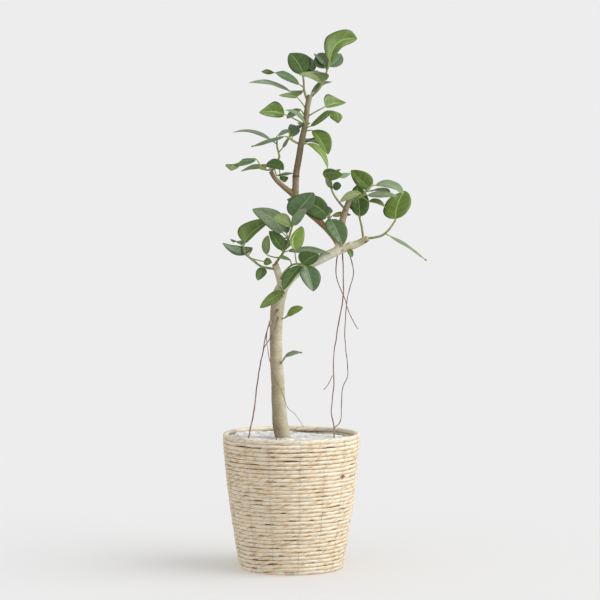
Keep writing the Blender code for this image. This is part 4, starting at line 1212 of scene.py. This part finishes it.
# grey painted on the side of a limb that faces the lamp, a painted highlight
PAINTED_LIT_GREY = (0.66, 0.65, 0.58)


def tone_at(stops, share):
    for (low, a), (high, b) in zip(stops, stops[1:]):
        if share <= high:
            return Vector(a).lerp(Vector(b), min(1, max(0, (share - low) / (high - low))))
    return Vector(stops[-1][1])


def fused(lines):
    """The limbs rolled round their lines and fused into one skin by a fine remesh, smoothed."""
    bm = start_mesh()
    for line in lines:
        roll(bm, line, LIMB_SIDES)
    face_outward(bm)
    rough = bpy.data.meshes.new("rough_wood")
    bm.to_mesh(rough)
    bm.free()
    holder = add_object("rough_wood", rough)
    fuse = holder.modifiers.new("fuse", "REMESH")
    fuse.mode = "VOXEL"
    fuse.voxel_size = BARK_VOXEL
    bpy.context.view_layer.update()
    whole = bpy.data.meshes.new_from_object(holder.evaluated_get(bpy.context.evaluated_depsgraph_get()))
    bpy.data.objects.remove(holder)
    bm = bmesh.new()
    bm.from_mesh(whole)
    bm.loops.layers.uv.new(UV_MAP)
    bpy.data.meshes.remove(rough)
    bpy.data.meshes.remove(whole)
    for _ in range(BARK_SMOOTHINGS):
        bmesh.ops.smooth_vert(
            bm, verts=bm.verts, factor=0.5, use_axis_x=True, use_axis_y=True, use_axis_z=True
        )
    bm.normal_update()
    return bm


def spots_on(limbs):
    """Each step of the limbs as (place, radius, limb, distance, share of its length), and a tree of them."""
    spots = []
    for name, line in limbs.items():
        along = lengths_along(line)
        for (place, radius), reach in zip(line, along):
            spots.append((place, radius, name, reach, reach / along[-1]))
    tree = KDTree(len(spots))
    for i, spot in enumerate(spots):
        tree.insert(spot[0], i)
    tree.balance()
    return spots, tree


def limb_at(place, limbs, spots, tree):
    """The limb at a place, its radius, the distance along it, and the blended tone of the limbs near by."""
    weights = []
    for _, i, distance in tree.find_n(place, 6):
        weights.append((1 / (1e-4 + abs(distance - spots[i][1])), spots[i]))
    total = sum(weight for weight, _ in weights)
    tone = Vector((0, 0, 0))
    for weight, (_, _, name, _, share) in weights:
        tone += tone_at(LIMB_TONES[name], share) * (weight / total)
    middle, radius, name, reach, share = max(weights, key=lambda row: row[0])[1]
    # the distance to the nearest step, and on along the limb from there
    line = limbs[name]
    i = max(0, min(len(line) - 2, round(share * (len(line) - 1))))
    reach += (place - middle).dot((line[i + 1][0] - line[i][0]).normalized())
    return name, radius, reach, tone


def bark_at(vert, name, radius, reach, tone):
    """The tone of the bark at a vertex, with painted light and shade on its lit and far sides, and how far
    the bark stands out there.
    """
    parts = (
        wander((reach * 1000, len(name), 0), 6.5, 3.0),
        wander((reach * 1000, 0, 5), 2.2, 1.0),
        wander(vert.co, 0.02, 2.0),
    )
    relief = radius * sum(part * depth for part, depth in zip(parts, BARK_RELIEF))
    relief += BARK_GRAIN * wander(vert.co, 0.0035, 7.0)
    # painted light: the side facing the lamp is painted greyer, a painted highlight, and the far side is
    # painted darker, painted shade
    facing = vert.normal.x
    tone = tone.lerp(Vector(PAINTED_LIT_GREY), (0.4 if name == "trunk" else 0.12) * max(0, facing))
    tone *= 1 - 0.3 * max(0, -facing)
    for middle, size, rise, mark_tone in BARK_MARKS:
        near = (vert.co - mm(middle)).length / (size / 1000)
        if near < 1:
            soft = (1 - near * near) ** 2
            tone = tone.lerp(Vector(mark_tone), min(1, 1.5 * soft))
            relief += rise / 1000 * soft
    ring_near = abs(vert.co.z - LEADER_RING[0]) / LEADER_RING[1]
    if name == "leader" and ring_near < 1:
        tone = tone.lerp(Vector(LEADER_RING_TONE), 0.85 * (1 - ring_near))
        relief += LEADER_RING_RISE * (1 - ring_near)
    return tone, relief


def make_wood(bark):
    """All limbs in one skin, with rings, swellings, scars and the tones of each limb."""
    limbs = {
        "trunk": smooth_line(TRUNK_LINE),
        "leader_limb": smooth_line(LEADER_LIMB_LINE),
        "leader": smooth_line(LEADER_LINE),
        "riser": smooth_line(RISER_LINE),
        "low_stub": smooth_line(LOW_STUB_LINE),
    }
    bm = fused(limbs.values())
    spots, tree = spots_on(limbs)
    tone_layer = bm.verts.layers.float_color.new("bark_tone")
    distances = {}
    for vert in bm.verts:
        name, radius, reach, tone = limb_at(vert.co, limbs, spots, tree)
        distances[vert] = reach
        tone, relief = bark_at(vert, name, radius, reach, tone)
        vert[tone_layer] = (*tone, 1)
        vert.co += vert.normal * relief
    uv = bm.loops.layers.uv.active
    for face in bm.faces:
        for loop in face.loops:
            loop[uv].uv = (0.5, distances[loop.vert])
    cut = bmesh.ops.bisect_plane(
        bm, geom=bm.verts[:] + bm.edges[:] + bm.faces[:], plane_co=UP * (SOIL_TOP + CUT_ABOVE_SOIL),
        plane_no=UP, clear_inner=True,
    )
    rim = [item for item in cut["geom_cut"] if isinstance(item, bmesh.types.BMEdge)]
    bmesh.ops.holes_fill(bm, edges=rim)
    new_piece(
        "barked_wood", bm, [bark], "pale_bark", "trunk", "main_bough", "right_bough", "leader_limb",
        "left_stub", "leader", "riser", "low_stub",
    )


def make_aerial_roots(bark):
    bm = start_mesh()
    for route in AERIAL_ROOTS.values():
        line = []
        for place, radius in smooth_line(route):
            kink = Vector((wander(place, 0.022, 1.0), wander(place, 0.022, 4.0), 0)) * ROOT_KINK
            line.append((place + kink, radius * (1 + 0.2 * wander(place, 0.012, 8.0))))
        if line[-1][0].z < FILM_TOP:
            line = [row for row in line if row[0].z > SOIL_TOP + 0.0005]
        roll(bm, line, ROOT_SIDES)
    new_piece("hanging_roots", bm, [bark], "root_bark", *AERIAL_ROOTS)


# Leaves and twigs
def nearest_on(lines, place):
    """The point of a shoot's twigs that is nearest to a place."""
    points = []
    for line in lines:
        for (a, _), (b, _) in zip(line, line[1:]):
            share = intersect_point_line(place, a, b)[1]
            points.append(a.lerp(b, min(1, max(0, share))))
    return min(points, key=lambda point: (point - place).length)


def outline(t):
    """A blade's half width along it, as a share of its widest."""
    return math.sin(math.pi * t**BLADE_BELLY) ** BLADE_ROUNDNESS if 0 < t < 1 else 0


def blade_middle(leaf, t):
    t_bend = t ** (LATE_BEND if leaf.late else 1)
    return leaf.base + leaf.reach * t + leaf.bend * 4 * t_bend * (1 - t_bend)


def half_reach(halves, t):
    """How one half of a blade reaches out from the midrib where it is widest, for a share of its length."""
    return halves[0].lerp(halves[1], smooth_rise((t - BLADE_TURN[0]) / (BLADE_TURN[1] - BLADE_TURN[0])))


def is_in_solid(leaf, tree):
    """Whether the mass's solid has this leaf, tested along its midrib and both margins."""
    for t in SOLID_TESTS:
        for half in (None, leaf.left, leaf.right):
            reach = half_reach(half, t) * outline(t) if half else Vector()
            if tree.find_nearest(blade_middle(leaf, t) + reach)[3] > SOLID_NEAR:
                return False
    return True


def blade(bm, leaf, draw, surface, under):
    """One leaf: an upper face and an underside that meet at a rippled margin and a short point."""
    ripple = draw.uniform(0, 6.28)
    waves = draw.uniform(*BLADE_WAVES)
    strength = draw.uniform(*BLADE_RIPPLE) * leaf.length * BLADE_WIDTH
    belly = draw.uniform(*BLADE_DOME)

    def spot(u, t, lift):
        across = 2 * u - 1
        half = leaf.left if across < 0 else leaf.right
        ahead = blade_middle(leaf, min(1, t + 0.01)) - blade_middle(leaf, max(0, t - 0.01))
        up = (half_reach(leaf.right, t) - half_reach(leaf.left, t)).cross(ahead).normalized()
        wide = outline(t / BLADE_POINT) * FULLER
        if t > 0.5:
            wide = max(wide, 0.05 * min(1, (1 - t) / 0.02))
        if t in (0.0, 1.0):
            wide = 0
        reach = half_reach(half, t) * wide * abs(across)
        margin = across**2
        dome = belly * reach.length * (math.sin(math.pi * abs(across)) - margin * 0.6)
        turn = ripple + (1.9 if across < 0 else 0)
        wave = strength * margin * math.sin(waves * 6.28 * t + turn) * math.sin(math.pi * t)
        course = VEIN_PAIRS * (t - VEIN_CLIMB * abs(across) ** VEIN_CURVE)
        veins = VEIN_RELIEF * math.cos(2 * math.pi * course) * math.sin(math.pi * min(1, abs(across)))
        rib = 1 + 0.9 * max(0, 1 - abs(across) * 7)
        thick = lift * (1 - margin**2) * rib * (1 - 0.5 * t)
        return blade_middle(leaf, t) + reach + up * (dome + wave + veins + thick)

    top = sheet_of(bm, BLADE_ACROSS, BLADE_ALONG, lambda u, v: spot(u, v, BLADE_THICKNESS / 2), surface)
    low = sheet_of(bm, BLADE_ACROSS, BLADE_ALONG, lambda u, v: spot(u, v, -BLADE_THICKNESS), under)
    weld(bm, top + low)


def stalk_line(leaf, root):
    """The petiole: a bent line from its twig to the blade's foot, and a little way into it."""
    along = leaf.reach.normalized()
    stalk = leaf.base - root
    bend = root + stalk * 0.5 - along * stalk.length * PETIOLE_SAG
    pieces = max(5, round(stalk.length / TWIG_STEP))
    line = []
    for k in range(pieces + 1):
        s = k / pieces
        place = root * (1 - s) ** 2 + bend * 2 * s * (1 - s) + leaf.base * s**2
        line.append((place, PETIOLE_RADIUS * (1.25 - 0.35 * s)))
    line.append((leaf.base + along * leaf.length * 0.05, PETIOLE_TIP))
    return line


def rear_leaf(lines, draw):
    """A leaf that points backward from a random place on a shoot's twigs."""
    line = draw.choice(lines)
    root = draw.choice(line)[0]
    heading = draw.uniform(-REAR_SPREAD, REAR_SPREAD)
    rise = draw.uniform(*REAR_RISE)
    way = Vector((math.sin(heading) * math.cos(rise), math.cos(heading) * math.cos(rise), math.sin(rise)))
    base = (root + way * REAR_PETIOLE) * 1000
    reach = (way - UP * REAR_DROOP) * draw.uniform(*REAR_LENGTH) * 1000
    return Leaf(None, base, reach, faces=UP + BACK * 0.3, at=root * 1000)


def rear_leaves(name, shoot, lines):
    """The seeded leaves behind a shoot: those that the mass's solid has too."""
    bm = bmesh.new()
    bm.from_mesh(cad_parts[name].data)
    tree = BVHTree.FromBMesh(bm)
    bm.free()
    draw = random.Random(f"{name} {SEED}")
    leaves = []
    for _ in range(REAR_TRIES):
        if len(leaves) == shoot.rear:
            break
        leaf = rear_leaf(lines, draw)
        if is_in_solid(leaf, tree):
            leaves.append(leaf)
    return leaves


def bud(bm, line, length, surface):
    """The pointed sheath that ends a shoot."""
    (before, _), (tip, radius) = line[-2], line[-1]
    way = (tip - before).normalized()
    rows = []
    for k in range(9):
        s = k / 8
        swell = math.sin(math.pi * min(1, 0.32 + 0.68 * s)) ** 0.8
        rows.append((tip + way * length * s - way * 0.001, max(0.0003, radius * 1.15 * swell)))
    roll(bm, rows, TWIG_SIDES, surface)


def make_shoots(finishes, under, twig, stalk):
    """Each mass as two pieces: its leaves, and its twigs with petioles and buds."""
    tones = list(finishes)
    for name, shoot in SHOOTS.items():
        coarse = [smooth_line(route, SOLID_TWIG_STEP) for route in shoot.twigs]
        if shoot.section:
            coarse.insert(0, solid_section(smooth_line(LEADER_LINE, SOLID_LIMB_STEP), *shoot.section))
        leaves = shoot.leaves + rear_leaves(name, shoot, coarse)

        looks = random.Random(f"{name} looks {SEED}")
        bm = start_mesh()
        for leaf in leaves:
            tone = leaf.tone or looks.choice(MIXED)
            blade(bm, leaf, looks, tones.index(tone), len(tones))
        new_piece(name + "_leaves", bm, [*finishes.values(), under], "fig_leaf", name)

        bm = start_mesh()
        for route in shoot.twigs:
            line = smooth_line(route, TWIG_STEP)
            rows = []
            for i, (place, radius) in enumerate(line):
                knots = 1 + 0.14 * max(0, wander((i * TWIG_STEP * 1000, len(name), 0), 4.0, 2.0))
                rows.append((place, radius * knots))
            roll(bm, rows, TWIG_SIDES)
            bud(bm, line, looks.uniform(*BUD_LENGTH), 1)
        for leaf in leaves:
            roll(bm, stalk_line(leaf, nearest_on(coarse, leaf.root)), ROOT_SIDES, 1)
            if leaf.curled:
                tip = [(blade_middle(leaf, 0.9), 0.0015), (blade_middle(leaf, 0.985), 0.0019)]
                bud(bm, tip, CURL_LENGTH, 0)
        new_piece(name + "_twigs", bm, [twig, stalk], "fig_leaf", name)


# Floor, lights and camera
def make_stage():
    """A wide pale floor with a soft light of its own, so that it is nearly as white as the air behind it."""
    bm = bmesh.new()
    bmesh.ops.create_grid(bm, x_segments=2, y_segments=2, size=FLOOR_SIZE)
    mesh = bpy.data.meshes.new("studio_floor")
    bm.to_mesh(mesh)
    bm.free()
    floor = add_object("studio_floor", mesh)
    mesh.materials.append(Finish("studio_pale", (0.9, 0.9, 0.9), 0.9, Specular_IOR_Level=0.0).material)
    floor.visible_diffuse = False
    floor.visible_glossy = False
    floor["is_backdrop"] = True
    data = bpy.data.lights.new("floor_light", "SUN")
    data.energy = FLOOR_LIGHT
    data.angle = math.radians(50)
    shine("floor_light", data, Vector(FLOOR_LIGHT_WAY), [floor])


def shine(name, data, way, objects):
    """Points a lamp a given way, to shine on these objects only."""
    lamp = add_object(name, data)
    lamp.rotation_euler = way.to_track_quat("-Z", "Y").to_euler()
    lit = bpy.data.collections.new(name + "_only")
    for thing in objects:
        lit.objects.link(thing)
    lamp.light_linking.receiver_collection = lit
    return lamp


def make_lights():
    world = bpy.data.worlds.new("studio_air")
    world.use_nodes = True
    nodes, links = world.node_tree.nodes, world.node_tree.links
    seen = nodes.new("ShaderNodeMapRange")
    seen.inputs["To Min"].default_value = AIR_GIVEN
    seen.inputs["To Max"].default_value = AIR_SEEN
    links.new(nodes.new("ShaderNodeLightPath").outputs["Is Camera Ray"], seen.inputs["Value"])
    nodes["Background"].inputs["Color"].default_value = (1, 1, 1, 1)
    links.new(seen.outputs[0], nodes["Background"].inputs["Strength"])
    bpy.context.scene.world = world
    plant = [thing for thing in bpy.context.scene.objects if thing.type == "MESH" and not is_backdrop(thing)]
    for name, (place, size, power) in LAMPS.items():
        data = bpy.data.lights.new(name, "AREA")
        data.shape = "DISK"
        data.size = size
        data.energy = power
        lamp = shine(name, data, Vector(LAMP_AIM) - Vector(place), plant)
        lamp.location = place


def make_camera():
    data = bpy.data.cameras.new("photo_camera")
    to_aim = Vector(CAMERA_AIM) - Vector(CAMERA_AT)
    data.sensor_width = SENSOR
    data.lens = SENSOR * to_aim.length / SHOWN_WIDTH
    camera = add_object("photo_camera", data)
    camera.location = CAMERA_AT
    camera.rotation_euler = to_aim.to_track_quat("-Z", "Y").to_euler()
    bpy.context.scene.camera = camera


def main():
    make_camera()
    make_stage()
    bpy.context.scene.view_settings.view_transform = "Standard"
    pale = (0.87, 0.81, 0.67)
    straw = straw_finish("pale_straw_rope", (0.83, 0.73, 0.55), (0.62, 0.36, 0.13), (0.2, 0.12, 0.05), pale)
    rim = straw_finish("rim_straw_rope", (0.76, 0.69, 0.55), (0.6, 0.46, 0.29), (0.3, 0.22, 0.12), pale)
    # near-black straw for the sheet inside the coil, painted shade
    shade = straw_finish(
        "shaded_inner_straw", (0.05, 0.03, 0.012), (0.035, 0.02, 0.008), (0.02, 0.012, 0.006),
        (0.06, 0.04, 0.016),
    )
    make_coil(straw, shade)
    make_frays(straw)
    make_rim(rim)
    make_stitches(thread_finish())
    make_knot(twig_finish("brown_knot_thread", (0.4, 0.22, 0.12), (0.2, 0.1, 0.05)))
    make_film(film_finish())
    soil = soil_finish()
    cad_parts["soil"].material_slots[0].material = soil
    make_soil_crumbs(soil)
    make_wood(bark_finish())
    make_aerial_roots(root_finish())
    finishes = {name: leaf_finish(name, *looks) for name, looks in LEAF_LOOKS.items()}
    under = leaf_finish("pale_leaf_underside", *UNDERSIDE, raised=True)
    twig = twig_finish("green_brown_twig", (0.27, 0.31, 0.09), (0.18, 0.15, 0.065))
    stalk = twig_finish("yellow_green_stalk", (0.28, 0.37, 0.07), (0.18, 0.23, 0.05))
    make_shoots(finishes, under, twig, stalk)
    make_lights()


main()
